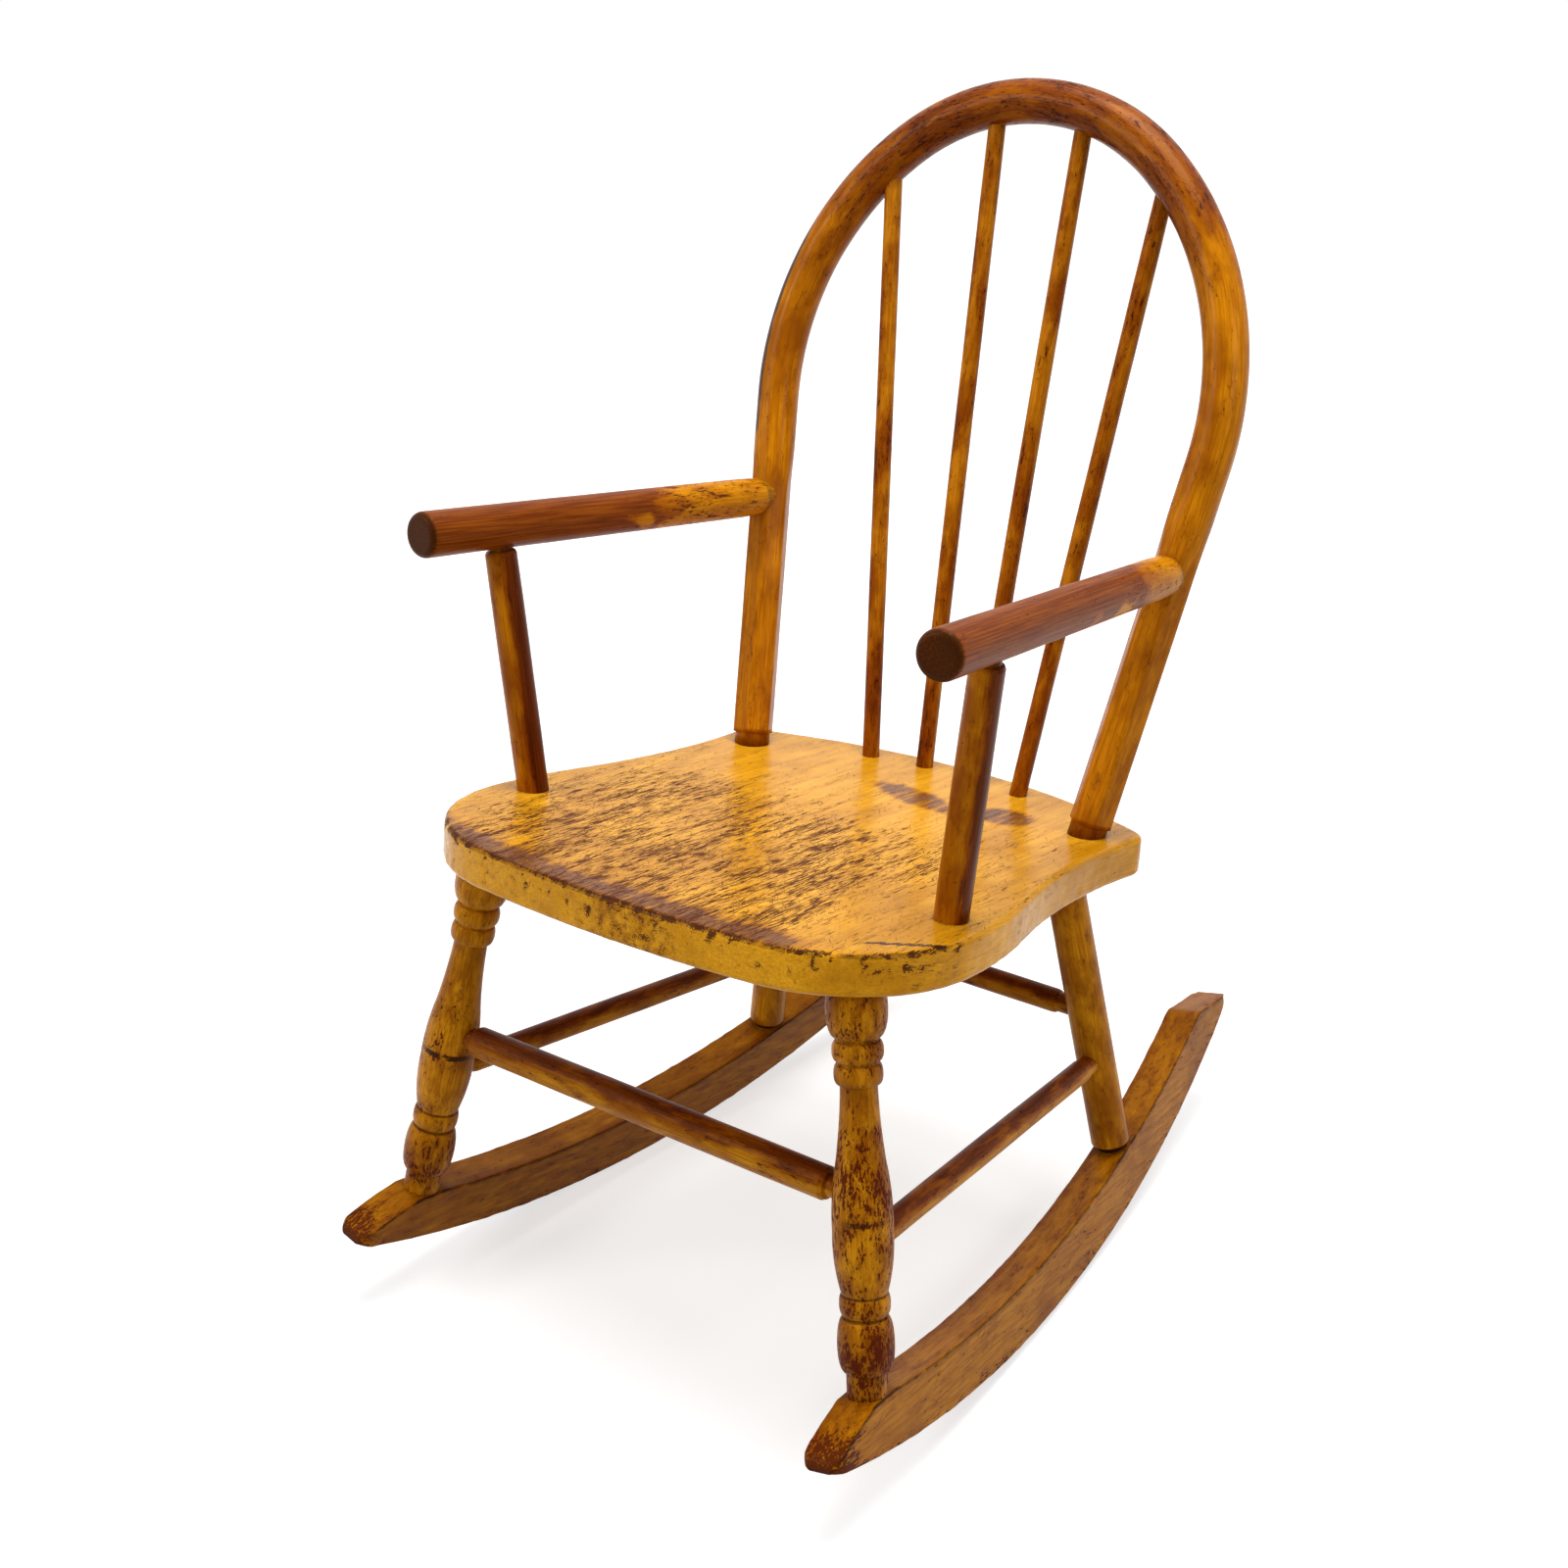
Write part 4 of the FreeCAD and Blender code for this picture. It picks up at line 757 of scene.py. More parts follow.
@dataclass(frozen=True)
class Rockers:
    """The two sawn rockers, leaning outward with the legs."""

    shape: RockerShape
    # The arrises are rounded by wear, and both ends are worn narrower and blunt.
    edge_radius: float = 1.3
    low_edge_radius: float = 1.0
    nose_round: float = 8.0
    nose_tuck_share: float = 0.6
    nose_hump: float = 0.8
    nose_curve: float = 2.2
    blunt_end: float = 1.5
    tail_curve: float = 1.2
    tail_tuck: float = 1.6
    tail_tuck_length: float = 5.0
    middle_share: float = 0.45
    # Small nicks in the arrises, this deep and this long.
    nick: float = 0.35
    nick_width: float = 7.0
    # How far apart the two boards lie in the pattern of the wood.
    board_gap: float = 60.0
    # The distance between rings.
    step: float = 2.5
    # Extra rings near the ends, where the outline turns quickly, at these distances from them.
    nose_rings: tuple[float, ...] = (0.15, 0.4, 0.8, 1.3, 2.0, 3.6)
    tail_rings: tuple[float, ...] = (0.3, 0.9, 1.7, 3.6)

    def top(self, reach: float) -> float:
        """Find the upper side, with its foot flat, worn nose and tail.

        Args:
            reach: Distance behind the front foot.

        Returns:
            Its height in the rocker's plane.
        """
        form = self.shape
        flat = form.top_arc(form.foot_flat)
        if reach > form.tail_high:
            share = (reach - form.tail_high) / (form.tail - form.tail_high)
            return form.top_arc(form.tail_high) * (1 - share) + form.tail_height * share
        if reach > form.foot_flat:
            return form.top_arc(reach)
        if reach > -form.foot_flat:
            return flat
        if reach > form.nose_high:
            share = (reach + form.foot_flat) / (form.nose_high + form.foot_flat)
            hump = self.nose_hump * math.sin(math.pi * share)
            return flat + (form.nose_height - flat) * share + hump
        share = (form.nose_high - reach) / (form.nose_high - form.nose)
        drop = form.nose_height - form.bottom_arc(form.nose) - self.blunt_end
        return form.nose_height - drop * (1 - math.sqrt(max(0.0, 1 - share ** self.nose_curve)))

    def bottom(self, reach: float) -> float:
        """Find the lower side, which turns up to the tail's end.

        Args:
            reach: Distance behind the front foot.

        Returns:
            Its height in the rocker's plane.
        """
        form = self.shape
        if reach < form.tail_low:
            return form.bottom_arc(reach)
        share = (reach - form.tail_low) / (form.tail - form.tail_low)
        low = form.bottom_arc(form.tail_low)
        return low + (form.tail_height - self.blunt_end - low) * share ** self.tail_curve

    def section(self, reach: float) -> Outline:
        """Draw the rounded section at one place.

        Args:
            reach: Distance behind the front foot.

        Returns:
            Across and up, from the middle of the underside and round to it again.
        """
        form = self.shape
        low = self.bottom(reach)
        high = self.top(reach)
        blunt = max(0.0, 1 - (reach - form.nose) / self.nose_round)
        nose_tuck = self.nose_round * self.nose_tuck_share * (1 - math.sqrt(1 - blunt ** 2))
        tuck = nose_tuck + self.tail_tuck * ramp(reach, form.tail - self.tail_tuck_length, form.tail)
        half = form.width / 2 - tuck
        over = min(self.edge_radius + tuck * 0.6, (high - low) / ROUNDING_PART)
        under = min(self.low_edge_radius + tuck * 0.5, (high - low) / ROUNDING_PART)
        points: Outline = [(0.0, low), (half * self.middle_share, low), (half - under - CREASE, low)]
        for angle in quarter_turn(3):
            points.append((half - under + under * math.sin(angle), low + under - under * math.cos(angle)))
        points.append((half, low + under + CREASE))
        for share in (0.2, 0.4, 0.6, 0.8):
            points.append((half, low + under + (high - over - low - under) * share))
        points.append((half, high - over - CREASE))
        for angle in quarter_turn(4):
            points.append((half - over + over * math.cos(angle), high - over + over * math.sin(angle)))
        points.extend([(half - over - CREASE, high), (half * self.middle_share, high), (0.0, high)])
        return points + [(-across, up) for across, up in reversed(points[1:-1])]

    def marks(self, side: Side, reach: float, across: float, up: float, place: Vector) -> Vector:
        """How worn, soiled and chipped the paint is at one point of a rocker.

        Args:
            side: Which rocker.
            reach: Distance behind the front foot.
            across: Distance from the middle of the width, towards the inside.
            up: Height in the rocker's plane.
            place: The point in the chair's frame.

        Returns:
            The three marks.
        """
        high = self.top(reach)
        low = self.bottom(reach)
        patchy = patch(place, 26, 4.0 + side.value)
        on_top = ramp(up, high - 1.2, high - 0.3)
        inner = ramp(across, 6.0, 9.5)
        nose = ramp(reach, -18, -40)
        wear = 0.12 + 0.14 * on_top + 0.08 * nose + 0.22 * patchy
        # The inner faces get more wear: partly real wear, partly painted shade between the rockers under the
        # seat.
        if inner > 0.5:
            wear += 0.15
        # A broken dark line along the top arris: partly grime, partly painted shade standing for the crease
        # between the top and the side.
        arris = ramp(abs(across), 8.4, 9.2) * ramp(up, high - 2.2, high - 1.4) * ramp(up, high, high - 0.3)
        soil = 0.62 * arris * ramp(patch(place, 7, 2.0), 0.05, 0.4) + 0.1 * nose
        foot = min(abs(reach), abs(reach - self.shape.foot_spacing))
        soil += 0.35 * on_top * ramp(foot, 14.0, 9.5)
        chips = 0.3 + 0.95 * nose * (1 - 0.5 * inner) + 0.5 * ramp(up, low + 4, low) + 0.4 * patchy
        return Vector((wear, soil, chips))

    def rings(self, side: Side) -> list[list[Spot]]:
        """Lay rings of points along one rocker, from its nose to its tail.

        Args:
            side: Which rocker.

        Returns:
            The rings.
        """
        form = self.shape
        place = form.place(side)
        count = math.ceil((form.tail - form.nose) / self.step)
        reaches = [form.nose + (form.tail - form.nose) * index / count for index in range(count + 1)]
        reaches += [form.nose + gap for gap in self.nose_rings]
        reaches += [form.tail - gap for gap in self.tail_rings]
        rings = []
        for reach in sorted(reaches):
            ring = []
            for across, up in self.section(reach):
                inward = across * side.value
                spot = place @ Vector((reach, inward, up))
                nick = noise.noise(spot / self.nick_width) * self.nick * ramp(abs(across), 8.5, 10.0)
                spot = place @ Vector((reach, inward + math.copysign(nick, inward), up + nick))
                wood = Vector((across + side.value * self.board_gap, up, reach))
                ring.append(Spot(spot, wood, self.marks(side, reach, across, up, spot)))
            rings.append(ring)
        return rings

    def build(self, shop: Paintshop) -> None:
        """Build both rockers.

        Args:
            shop: Where the finish is made.
        """
        for side in Side:
            skin(f"rocker_{side.word}", self.rings(side), shop.material(Finish.ROCKER))


@dataclass(frozen=True)
class Legs:
    """The turned front legs and the plain rear legs."""

    shape: RockerShape
    # Where the legs' axes enter the seat, which lies level in the chair's frame.
    seat_underside: float = 227.5
    front_spread: float = 113.5
    front_forward: float = 108.5
    rear_spread: float = 89.0
    rear_back: float = 113.0
    # The turned outline, from the foot up. Heights are above the rocker along the leg.
    tenon: float = 5.0
    foot_radius: float = 9.5
    foot_height: float = 11.5
    bulb_top: float = 37.5
    bulb_radius: float = 13.3
    groove: float = 1.2
    groove_radius: float = 9.8
    ring_top: float = 48.7
    ring_radius: float = 11.9
    vase_foot_radius: float = 10.8
    belly_height: float = 77.7
    belly_radius: float = 14.0
    shoulder_height: float = 109.7
    shoulder_radius: float = 11.75
    neck_radius: float = 8.6
    beads_below_seat: float = 47.4
    bead_length: float = 9.5
    bead_root: float = 9.3
    bead_radius: float = 11.3
    cap_root: float = 9.2
    cap_radius: float = 14.2
    # The plain rear legs, cut square just above the rocker.
    rear_radius: float = 10.5
    rear_tenon_radius: float = 7.0
    rear_gap: float = 3.2
    seat_tenon: float = 3.0
    seat_tenon_radius: float = 9.0
    # A dark line scored across each front leg, on the side that faces this way.
    line_height: float = 85.0
    line_facing: Triple = (0.56, -0.73, 0.39)

    def front_top(self, side: Side) -> Vector:
        """Where the front leg's axis enters the seat."""
        return Vector((side.value * self.front_spread, -self.front_forward, self.seat_underside))

    def rear_top(self, side: Side) -> Vector:
        """Where the rear leg's axis enters the seat."""
        return Vector((side.value * self.rear_spread, self.rear_back, self.seat_underside))

    def at(self, low: Vector, high: Vector, height: float) -> Vector:
        """The point of a leg's axis at a height."""
        return low + (high - low) * ((height - low.z) / (high.z - low.z))

    def front_outline(self, length: float) -> Outline:
        """The turned outline: foot, bulb, ring, vase, two beads and cap.

        Args:
            length: From the rocker to the seat.

        Returns:
            Distance above the rocker and radius, from below.
        """
        ring = self.bulb_top + self.groove
        low_bead = length - self.beads_below_seat
        high_bead = low_bead + self.bead_length + self.groove
        cap = high_bead + self.bead_length + self.groove
        return [
            (-self.tenon, self.foot_radius), (self.foot_height, self.foot_radius),
            *bead(self.foot_height, self.bulb_top, self.groove_radius, self.bulb_radius),
            (ring, self.groove_radius),
            *bead(ring, self.ring_top, self.groove_radius + 0.4, self.ring_radius),
            *swell((self.ring_top + 0.1, self.vase_foot_radius), (self.belly_height, self.belly_radius), 1.1),
            *swell((self.belly_height + 0.1, self.belly_radius),
                   (self.shoulder_height, self.shoulder_radius), 0.9),
            *swell((self.shoulder_height + 0.1, self.shoulder_radius), (low_bead, self.neck_radius), -0.6),
            *bead(low_bead, low_bead + self.bead_length, self.bead_root, self.bead_radius),
            *bead(high_bead, high_bead + self.bead_length, self.bead_root, self.ring_radius),
            *bead(cap, length, self.cap_root, self.cap_radius),
            (length + self.seat_tenon, self.seat_tenon_radius),
        ]

    def rear_outline(self, length: float) -> Outline:
        """The plain outline: foot tenon, square shoulder, long rod and seat tenon.

        Args:
            length: From the rocker to the seat.

        Returns:
            Distance above the rocker and radius, from below.
        """
        return [
            (-self.tenon - 1.0, self.rear_tenon_radius), (self.rear_gap, self.rear_tenon_radius),
            (self.rear_gap + 0.1, self.rear_radius - 0.6), (self.rear_gap + 0.8, self.rear_radius),
            (length - 6, self.rear_radius), (length, self.seat_tenon_radius),
            (length + self.seat_tenon, self.seat_tenon_radius),
        ]

    def front_marks(self, side: Side, along: float, outward: Vector, place: Vector) -> Vector:
        """Mark a front leg: chips everywhere, most on the bulb and the ring.

        Args:
            side: Which leg.
            along: Distance above the rocker.
            outward: The direction in which the surface faces.
            place: The point in the chair's frame.

        Returns:
            The three marks.
        """
        near = side is Side.LEFT
        patchy = patch(place, 20, 7.0 + side.value)
        low = ramp(along, 62, 40)
        chips = (0.62 if near else 0.3) + 0.55 * low * patchy + 0.4 * patchy
        chips += 0.25 * ramp(along, 70, 90) * ramp(along, 120, 95)
        wear = 0.15 + 0.25 * patchy * low + 0.2 * patchy + 0.15 * max(0.0, outward.x * side.value)
        grooves = (self.foot_height, self.bulb_top + self.groove / 2, self.ring_top)
        dark = max(ramp(abs(along - groove), 1.6, 0.3) for groove in grooves)
        line = ramp(abs(along - self.line_height), 2.4, 1.0) * ramp(patch(place, 5, 3.0), 0.25, 0.45)
        line *= max(0.0, outward.dot(Vector(self.line_facing)))
        # The line shows more on the far leg, which has fewer chips round it.
        soil = 0.6 * dark + (0.75 if near else 1.2) * line + 0.5 * ramp(along, 1.4, 0.0)
        return Vector((wear, soil, chips))

    def rear_marks(self, side: Side, along: float, _outward: Vector, place: Vector) -> Vector:
        """Mark a rear leg: plain paint all round, with dirt above the foot.

        Args:
            side: Which leg.
            along: Distance above the rocker.
            place: The point in the chair's frame.

        Returns:
            The three marks.
        """
        patchy = patch(place, 30, 11.0 + side.value)
        return Vector((0.2 + 0.25 * patchy, 0.9 * ramp(along, 4.0, 3.0), 0.2 + 0.3 * patchy))

    def build(self, shop: Paintshop) -> None:
        """Build the four legs.

        Args:
            shop: Where the finish is made.
        """
        for side in Side:
            material = shop.material(Finish.LEG)
            foot = self.shape.front_foot(side)
            top = self.front_top(side)
            leg = Turning(foot, top, self.front_outline((top - foot).length), partial(self.front_marks, side),
                          1.0 + side.value, segments=56, step=1.6)
            skin(f"front_leg_{side.word}", leg.rings(), material)
            foot = self.shape.rear_foot(side)
            top = self.rear_top(side)
            leg = Turning(foot, top, self.rear_outline((top - foot).length), partial(self.rear_marks, side),
                          5.0 + side.value)
            skin(f"rear_leg_{side.word}", leg.rings(), material)


@dataclass(frozen=True)
class Stretchers:
    """The four round stretchers, each with a narrower neck at its ends."""

    legs: Legs
    # Heights of the stretchers' ends in the chair's frame.
    front_height: float = 128.0
    rear_height: float = 139.5
    side_front_height: float = 105.0
    side_rear_height: float = 110.5
    # The rods, and the narrower neck that enters each leg.
    front_radius: float = 8.25
    rear_radius: float = 6.75
    side_radius: float = 6.4
    neck_radius: float = 5.5
    neck: float = 17.0
    tenon_start: float = 4.0

    def outline(self, length: float, radius: float) -> Outline:
        """Draw the tenon, rounded shoulder and slightly fuller middle, and the same again.

        Args:
            length: From one leg's axis to the other's.
            radius: The rod's radius in the middle.

        Returns:
            Distance along and radius, from the start.
        """
        shoulder = self.neck_radius + (radius - self.neck_radius) * 0.6
        half = [
            (self.tenon_start, self.neck_radius), (self.neck, self.neck_radius),
            (self.neck + 0.9, shoulder), (self.neck + 2.8, radius - 0.1),
        ]
        return [*half, (length / 2, radius), *((length - along, size) for along, size in reversed(half))]

    def marks(self, seed: float, length: float, along: float, outward: Vector, place: Vector) -> Vector:
        """Mark a stretcher: rubbed to dark wood by shoes on top, yellow below, dirty at its necks.

        Args:
            seed: Which pattern to read.
            length: The stretcher's length.
            along: Distance from its start.
            outward: The direction in which the surface faces.
            place: The point in the chair's frame.

        Returns:
            The three marks.
        """
        patchy = patch(place, 24, seed)
        wear = 0.1 + 0.42 * ramp(outward.z, -0.1, 0.8) + 0.35 * patchy
        neck = max(ramp(along, 20, 16), ramp(length - along, 20, 16))
        return Vector((wear, 0.3 * neck, 0.3 + 0.4 * patchy))

    def build(self, shop: Paintshop) -> None:
        """Build the front, rear and side stretchers.

        Args:
            shop: Where the finish is made.
        """
        legs = self.legs
        fronts = {side: (legs.shape.front_foot(side), legs.front_top(side)) for side in Side}
        rears = {side: (legs.shape.rear_foot(side), legs.rear_top(side)) for side in Side}
        runs = []
        for name, axes, height, radius in (("front", fronts, self.front_height, self.front_radius),
                                           ("rear", rears, self.rear_height, self.rear_radius)):
            ends = [legs.at(*axes[side], height) for side in Side]
            runs.append((f"{name}_stretcher", ends[0], ends[1], radius))
        for side in Side:
            start = legs.at(*fronts[side], self.side_front_height)
            end = legs.at(*rears[side], self.side_rear_height)
            runs.append((f"side_stretcher_{side.word}", start, end, self.side_radius))
        for seed, (node, start, end, radius) in enumerate(runs, start=20):
            length = (end - start).length
            rule = partial(self.marks, seed, length)
            rod = Turning(start, end, self.outline(length, radius), rule, seed, segments=36)
            skin(node, rod.rings(), shop.material(Finish.STRETCHER))


class Circle(NamedTuple):
    """A circle in the plan of the seat, in mm."""

    centre: Vector
    radius: float

    def grown(self, gap: float) -> "Circle":
        """The circle round the same centre that lies a gap further out."""
        return Circle(self.centre, self.radius + gap)

    def towards(self, place: Vector) -> Vector:
        """The point of the circle that lies towards a place."""
        return self.centre + (place - self.centre).normalized() * self.radius


def circle_through(start: Vector, end: Vector, rise: float) -> Circle:
    """Find the circle of the arc that stands out to the right of a chord.

    Args:
        start: First end of the chord.
        end: Last end of the chord.
        rise: How far the arc stands out to the right, or to the left if negative.

    Returns:
        The circle.
    """
    chord = end - start
    right = Vector((chord.y, -chord.x)).normalized()
    radius = (chord.length_squared / 4 + rise ** 2) / (2 * abs(rise))
    return Circle((start + end) / 2 + right * (rise - math.copysign(radius, rise)), radius)


def meeting(first: Circle, second: Circle, near: Vector) -> Vector:
    """Find the crossing of two circles that lies nearer to a point.

    Args:
        first: One circle.
        second: The other.
        near: The point that picks one of the two crossings.

    Returns:
        The crossing.
    """
    between = second.centre - first.centre
    gap = between.length
    run = (first.radius ** 2 - second.radius ** 2 + gap ** 2) / (2 * gap)
    rise = math.sqrt(first.radius ** 2 - run ** 2)
    middle = first.centre + between * (run / gap)
    offset = Vector((-between.y, between.x)) * (rise / gap)
    return min(middle + offset, middle - offset, key=lambda point: (point - near).length)


def sweep(centre: Vector, start: Vector, end: Vector, step: float) -> list[Vector]:
    """Set points round a centre from one point to another, with the last left out.

    Args:
        centre: The arc's centre.
        start: The first point.
        end: Where the arc ends.
        step: The distance between points in mm.

    Returns:
        The points.
    """
    first = math.atan2(start.y - centre.y, start.x - centre.x)
    turn = (math.atan2(end.y - centre.y, end.x - centre.x) - first + math.pi) % (2 * math.pi) - math.pi
    radius = (start - centre).length
    count = max(2, math.ceil(abs(turn) * radius / step))
    angles = [first + turn * index / count for index in range(count)]
    return [centre + Vector((math.cos(angle), math.sin(angle))) * radius for angle in angles]


@dataclass(frozen=True)
class SeatPlank:
    """The plank seat with its bowed outline, softened edges and worn top."""

    top: float = 248.5
    thickness: float = 21.0
    # The corners in plan before they are rounded, and how far the sides between them bow.
    front_half_width: float = 141.0
    front_corner: float = -138.0
    waist_half_width: float = 142.4
    waist: float = -12.0
    rear_half_width: float = 133.5
    rear_corner: float = 123.0
    front_crown: float = 16.0
    side_swell: float = 8.6
    side_hollow: float = 6.6
    back_crown: float = 32.0
    # How the corners and the upper and lower edges are rounded.
    front_radius: float = 78.0
    rear_radius: float = 13.0
    edge_radius: float = 3.0
    # The distance between points of the outline, and the place to which its rings shrink.
    step: float = 2.0
    corner_step: float = 1.5
    middle_y: float = -8.0
    # The long scratch across the near front corner, from its front end to its rear end.
    scratch: tuple[Band, Band] = ((120.7, -112.8), (149.2, -89.3))
    # Worn blotches: middle across and back, half length, half width, and turn in degrees.
    blotches: tuple[Blotch, ...] = (
        (14.0, 85.0, 31.0, 12.0, -16.0), (64.0, 92.0, 17.0, 15.0, 8.0),
    )
    # A dark smudge behind the far front corner, in the same numbers.
    smudge: Blotch = (-66.0, -92.0, 22.0, 15.0, 20.0)
    # The sockets in the top for posts, hoop and spindles: across, back and radius.
    holes: tuple[Triple, ...] = (
        (130.0, -59.5, 8.3), (110.5, 101.7, 9.8), (16.4, 138.8, 4.8), (48.8, 132.4, 4.8),
    )

    def half_outline(self) -> list[Vector]:
        """Draw the outline's left half: a bowed front, swelled and hollowed side, and bowed back.

        Returns:
            Points from the middle of the front to the middle of the back.
        """
        corner = Vector((self.front_half_width, self.front_corner))
        waist = Vector((self.waist_half_width, self.waist))
        rear = Vector((self.rear_half_width, self.rear_corner))
        mirrored = Vector((-1, 1))
        front = circle_through(corner * mirrored, corner, self.front_crown)
        side = circle_through(corner, waist, self.side_swell)
        hollow = circle_through(waist, rear, -self.side_hollow)
        back = circle_through(rear, rear * mirrored, self.back_crown)
        bend = meeting(front.grown(-self.front_radius), side.grown(-self.front_radius), corner)
        turn = meeting(hollow.grown(self.rear_radius), back.grown(-self.rear_radius), rear)
        nose = Vector((0, self.front_corner - self.front_crown))
        tail = Vector((0, self.rear_corner + self.back_crown))
        return [
            *sweep(front.centre, nose, front.towards(bend), self.step),
            *sweep(bend, front.towards(bend), side.towards(bend), self.step),
            *sweep(side.centre, side.towards(bend), waist, self.step),
            *sweep(hollow.centre, waist, hollow.towards(turn), self.step),
            *sweep(turn, hollow.towards(turn), back.towards(turn), self.corner_step),
            *sweep(back.centre, back.towards(turn), tail, self.step), tail,
        ]

    def outline(self) -> list[tuple[Vector, Vector]]:
        """Draw the whole outline.

        Returns:
            Each point with its inward direction.
        """
        half = self.half_outline()
        points = half + [Vector((-point.x, point.y)) for point in reversed(half[1:-1])]
        pairs = []
        for index, point in enumerate(points):
            run = points[(index + 1) % len(points)] - points[index - 1]
            pairs.append((point, Vector((-run.y, run.x)).normalized()))
        return pairs

    def levels(self) -> list[Triple]:
        """List the rings: out over the underside, round the edge, and in over the top.

        Returns:
            Inset, height above the underside, and share of the way out, ring by ring.
        """
        soft = self.edge_radius
        rise = self.thickness - 2 * soft
        rows = [(soft, 0.0, share) for share in (0.04, 0.25, 0.5, 0.75, 0.92)]
        for angle in quarter_turn(4):
            rows.append((soft - soft * math.sin(angle), soft - soft * math.cos(angle), 1.0))
        rows.append((0.0, soft + CREASE, 1.0))
        rows.extend((0.0, soft + rise * share, 1.0) for share in (0.17, 0.33, 0.5, 0.67, 0.83))
        rows.extend([(0.0, soft + rise - CREASE, 1.0), (0.0, soft + rise, 1.0)])
        for angle in quarter_turn(5)[1:]:
            rows.append((soft - soft * math.cos(angle), self.thickness - soft + soft * math.sin(angle), 1.0))
        # Eight close rings near the edge, then fifty even ones to the middle.
        rows.extend((soft, self.thickness, 1 - step * 0.0125) for step in range(1, 9))
        rows.extend((soft, self.thickness, 0.9 - step * 0.0176) for step in range(1, 51))
        return rows

    def marks(self, place: Vector, height: float) -> Vector:
        """How worn, soiled and chipped the seat is at one point.

        Args:
            place: The point in the chair's frame.
            height: Its height above the underside.

        Returns:
            The three marks.
        """
        flat = Vector((place.x, place.y, 0))
        patchy = patch(flat, 34, 1.0)
        streaky = patch(Vector((place.x, place.y / 5, 0)), 6, 9.0)
        on_top = ramp(height, self.thickness - 2.0, self.thickness - 0.2)
        on_edge = 1 - on_top
        front = ramp(place.y, -60, -110)
        # The top arris, where the edge turns over into the top.
        arris = ramp(height, self.thickness - 3.4, self.thickness - 1.8)
        arris *= ramp(height, self.thickness + 0.1, self.thickness - 0.4)

        # A bare band behind the front edge, where knees bend, and worn blotches further back.
        edge = self.front_corner - self.front_crown * (1 - (place.x / self.front_half_width) ** 2)
        band = ramp(place.y - edge, 25 + 4 * streaky, 7 + 7 * patchy) * ramp(place.x, 122, 90) * on_top
        blotch = max(ramp(self.off_blotch(place, *where), 1.25, 0.7) for where in self.blotches) * on_top
        wear = 0.12 + 0.6 * band + 0.52 * blotch + 0.12 * patchy

        # The middle of the front edge is flaked by heels. The top arris is dark in places, partly grime and
        # partly painted shade that dulls the highlight on the rounded edge.
        flaked = ramp(abs(place.x - 14), 34, 18) * front * on_edge
        wear += (0.35 * flaked + 0.1 * front * on_edge) * patch(place, 9, 12.0)
        soil = 0.6 * arris * (0.4 + 0.6 * front) * ramp(patch(flat, 7, 5.0), 0.05, 0.4)
        soil += 0.12 * flaked * patch(place, 6, 6.0)

        # Dirt lies round the sockets and in the scratch, with one smudge.
        rim = min((flat - Vector((side.value * x, y, 0))).length - radius
                  for x, y, radius in self.holes for side in Side)
        soil += (0.45 * ramp(rim, 3.0, 0.4) + 0.85 * ramp(self.off_scratch(flat), 2.3, 0.9)) * on_top
        soil += 0.22 * ramp(self.off_blotch(place, *self.smudge), 1.4, 0.3) * on_top

        # Chips run in streaks where the seat is sat on, and lie as spots along the edge.
        sat_on = ramp(place.y, 55, 0) * ramp(place.x, 112, 66) * ramp(place.x, -140, -105) * on_top
        rubbed = ramp(place.y, 125, 60) * on_top
        chips = 0.3 * on_top + 0.3 * rubbed + 0.78 * sat_on * (0.4 + 0.6 * streaky) * (0.6 + 0.5 * patchy)
        chips += 0.3 * flaked + on_edge * (0.1 + 0.35 * patchy) + 0.3 * front * patchy * on_edge
        spots = ramp(patch(place, 4.5, 13.0), 0.64, 0.76) * ramp(height, 2, 15)
        chips += 1.4 * on_edge * (0.25 + 0.75 * front) * spots
        chips += arris * (0.3 + 0.7 * front) * ramp(patch(flat, 5, 14.0), 0.42, 0.62)
        return Vector((wear, soil, chips))

    def off_scratch(self, place: Vector) -> float:
        """Measure how far a place lies from the long scratch.

        Args:
            place: The place on the seat, with height 0.

        Returns:
            The distance in mm.
        """
        start, end = (Vector((x, y, 0)) for x, y in self.scratch)
        run = end - start
        share = min(max((place - start).dot(run) / run.length_squared, 0.0), 1.0)
        return (place - start - run * share).length

    def off_blotch(self, place: Vector, across: float, back: float, half_length: float,
                   half_width: float, turn_degrees: float) -> float:
        """Measure how far out of a blotch a place lies, with 1 on its edge.

        Args:
            place: The place on the seat.
            across: The blotch's middle from side to side.
            back: The blotch's middle from front to back.
            half_length: Half its length.
            half_width: Half its width.
            turn_degrees: How far its length turns from the side-to-side direction.

        Returns:
            The distance in blotches.
        """
        straight = Matrix.Rotation(math.radians(-turn_degrees), 2)
        offset = straight @ Vector((place.x - across, place.y - back))
        return math.hypot(offset.x / half_length, offset.y / half_width)

    def build(self, shop: Paintshop) -> None:
        """Build the seat.

        Args:
            shop: Where the finish is made.
        """
        outline = self.outline()
        underside = self.top - self.thickness
        centre = Vector((0, self.middle_y))
        rings = []
        for inset, height, share in self.levels():
            ring = []
            for point, inward in outline:
                flat = centre + (point + inward * inset - centre) * share
                place = Vector((flat.x, flat.y, underside + height))
                # The edge has small nicks and long hollows, and the top has faint ripples.
                nick = noise.noise(place / 6) * 0.35 + noise.noise(place / 22) * 0.3
                flat += inward * nick * ramp(share, 0.97, 1.0)
                ripple = noise.noise(Vector((flat.x / 14, flat.y / 60, 2))) * 0.12
                place = Vector((flat.x, flat.y, underside + height + ripple * ramp(height, 18, 21)))
                wood = Vector((flat.x, height, flat.y))
                ring.append(Spot(place, wood, self.marks(place, height)))
            rings.append(ring)
        skin("seat", rings, shop.material(Finish.SEAT))


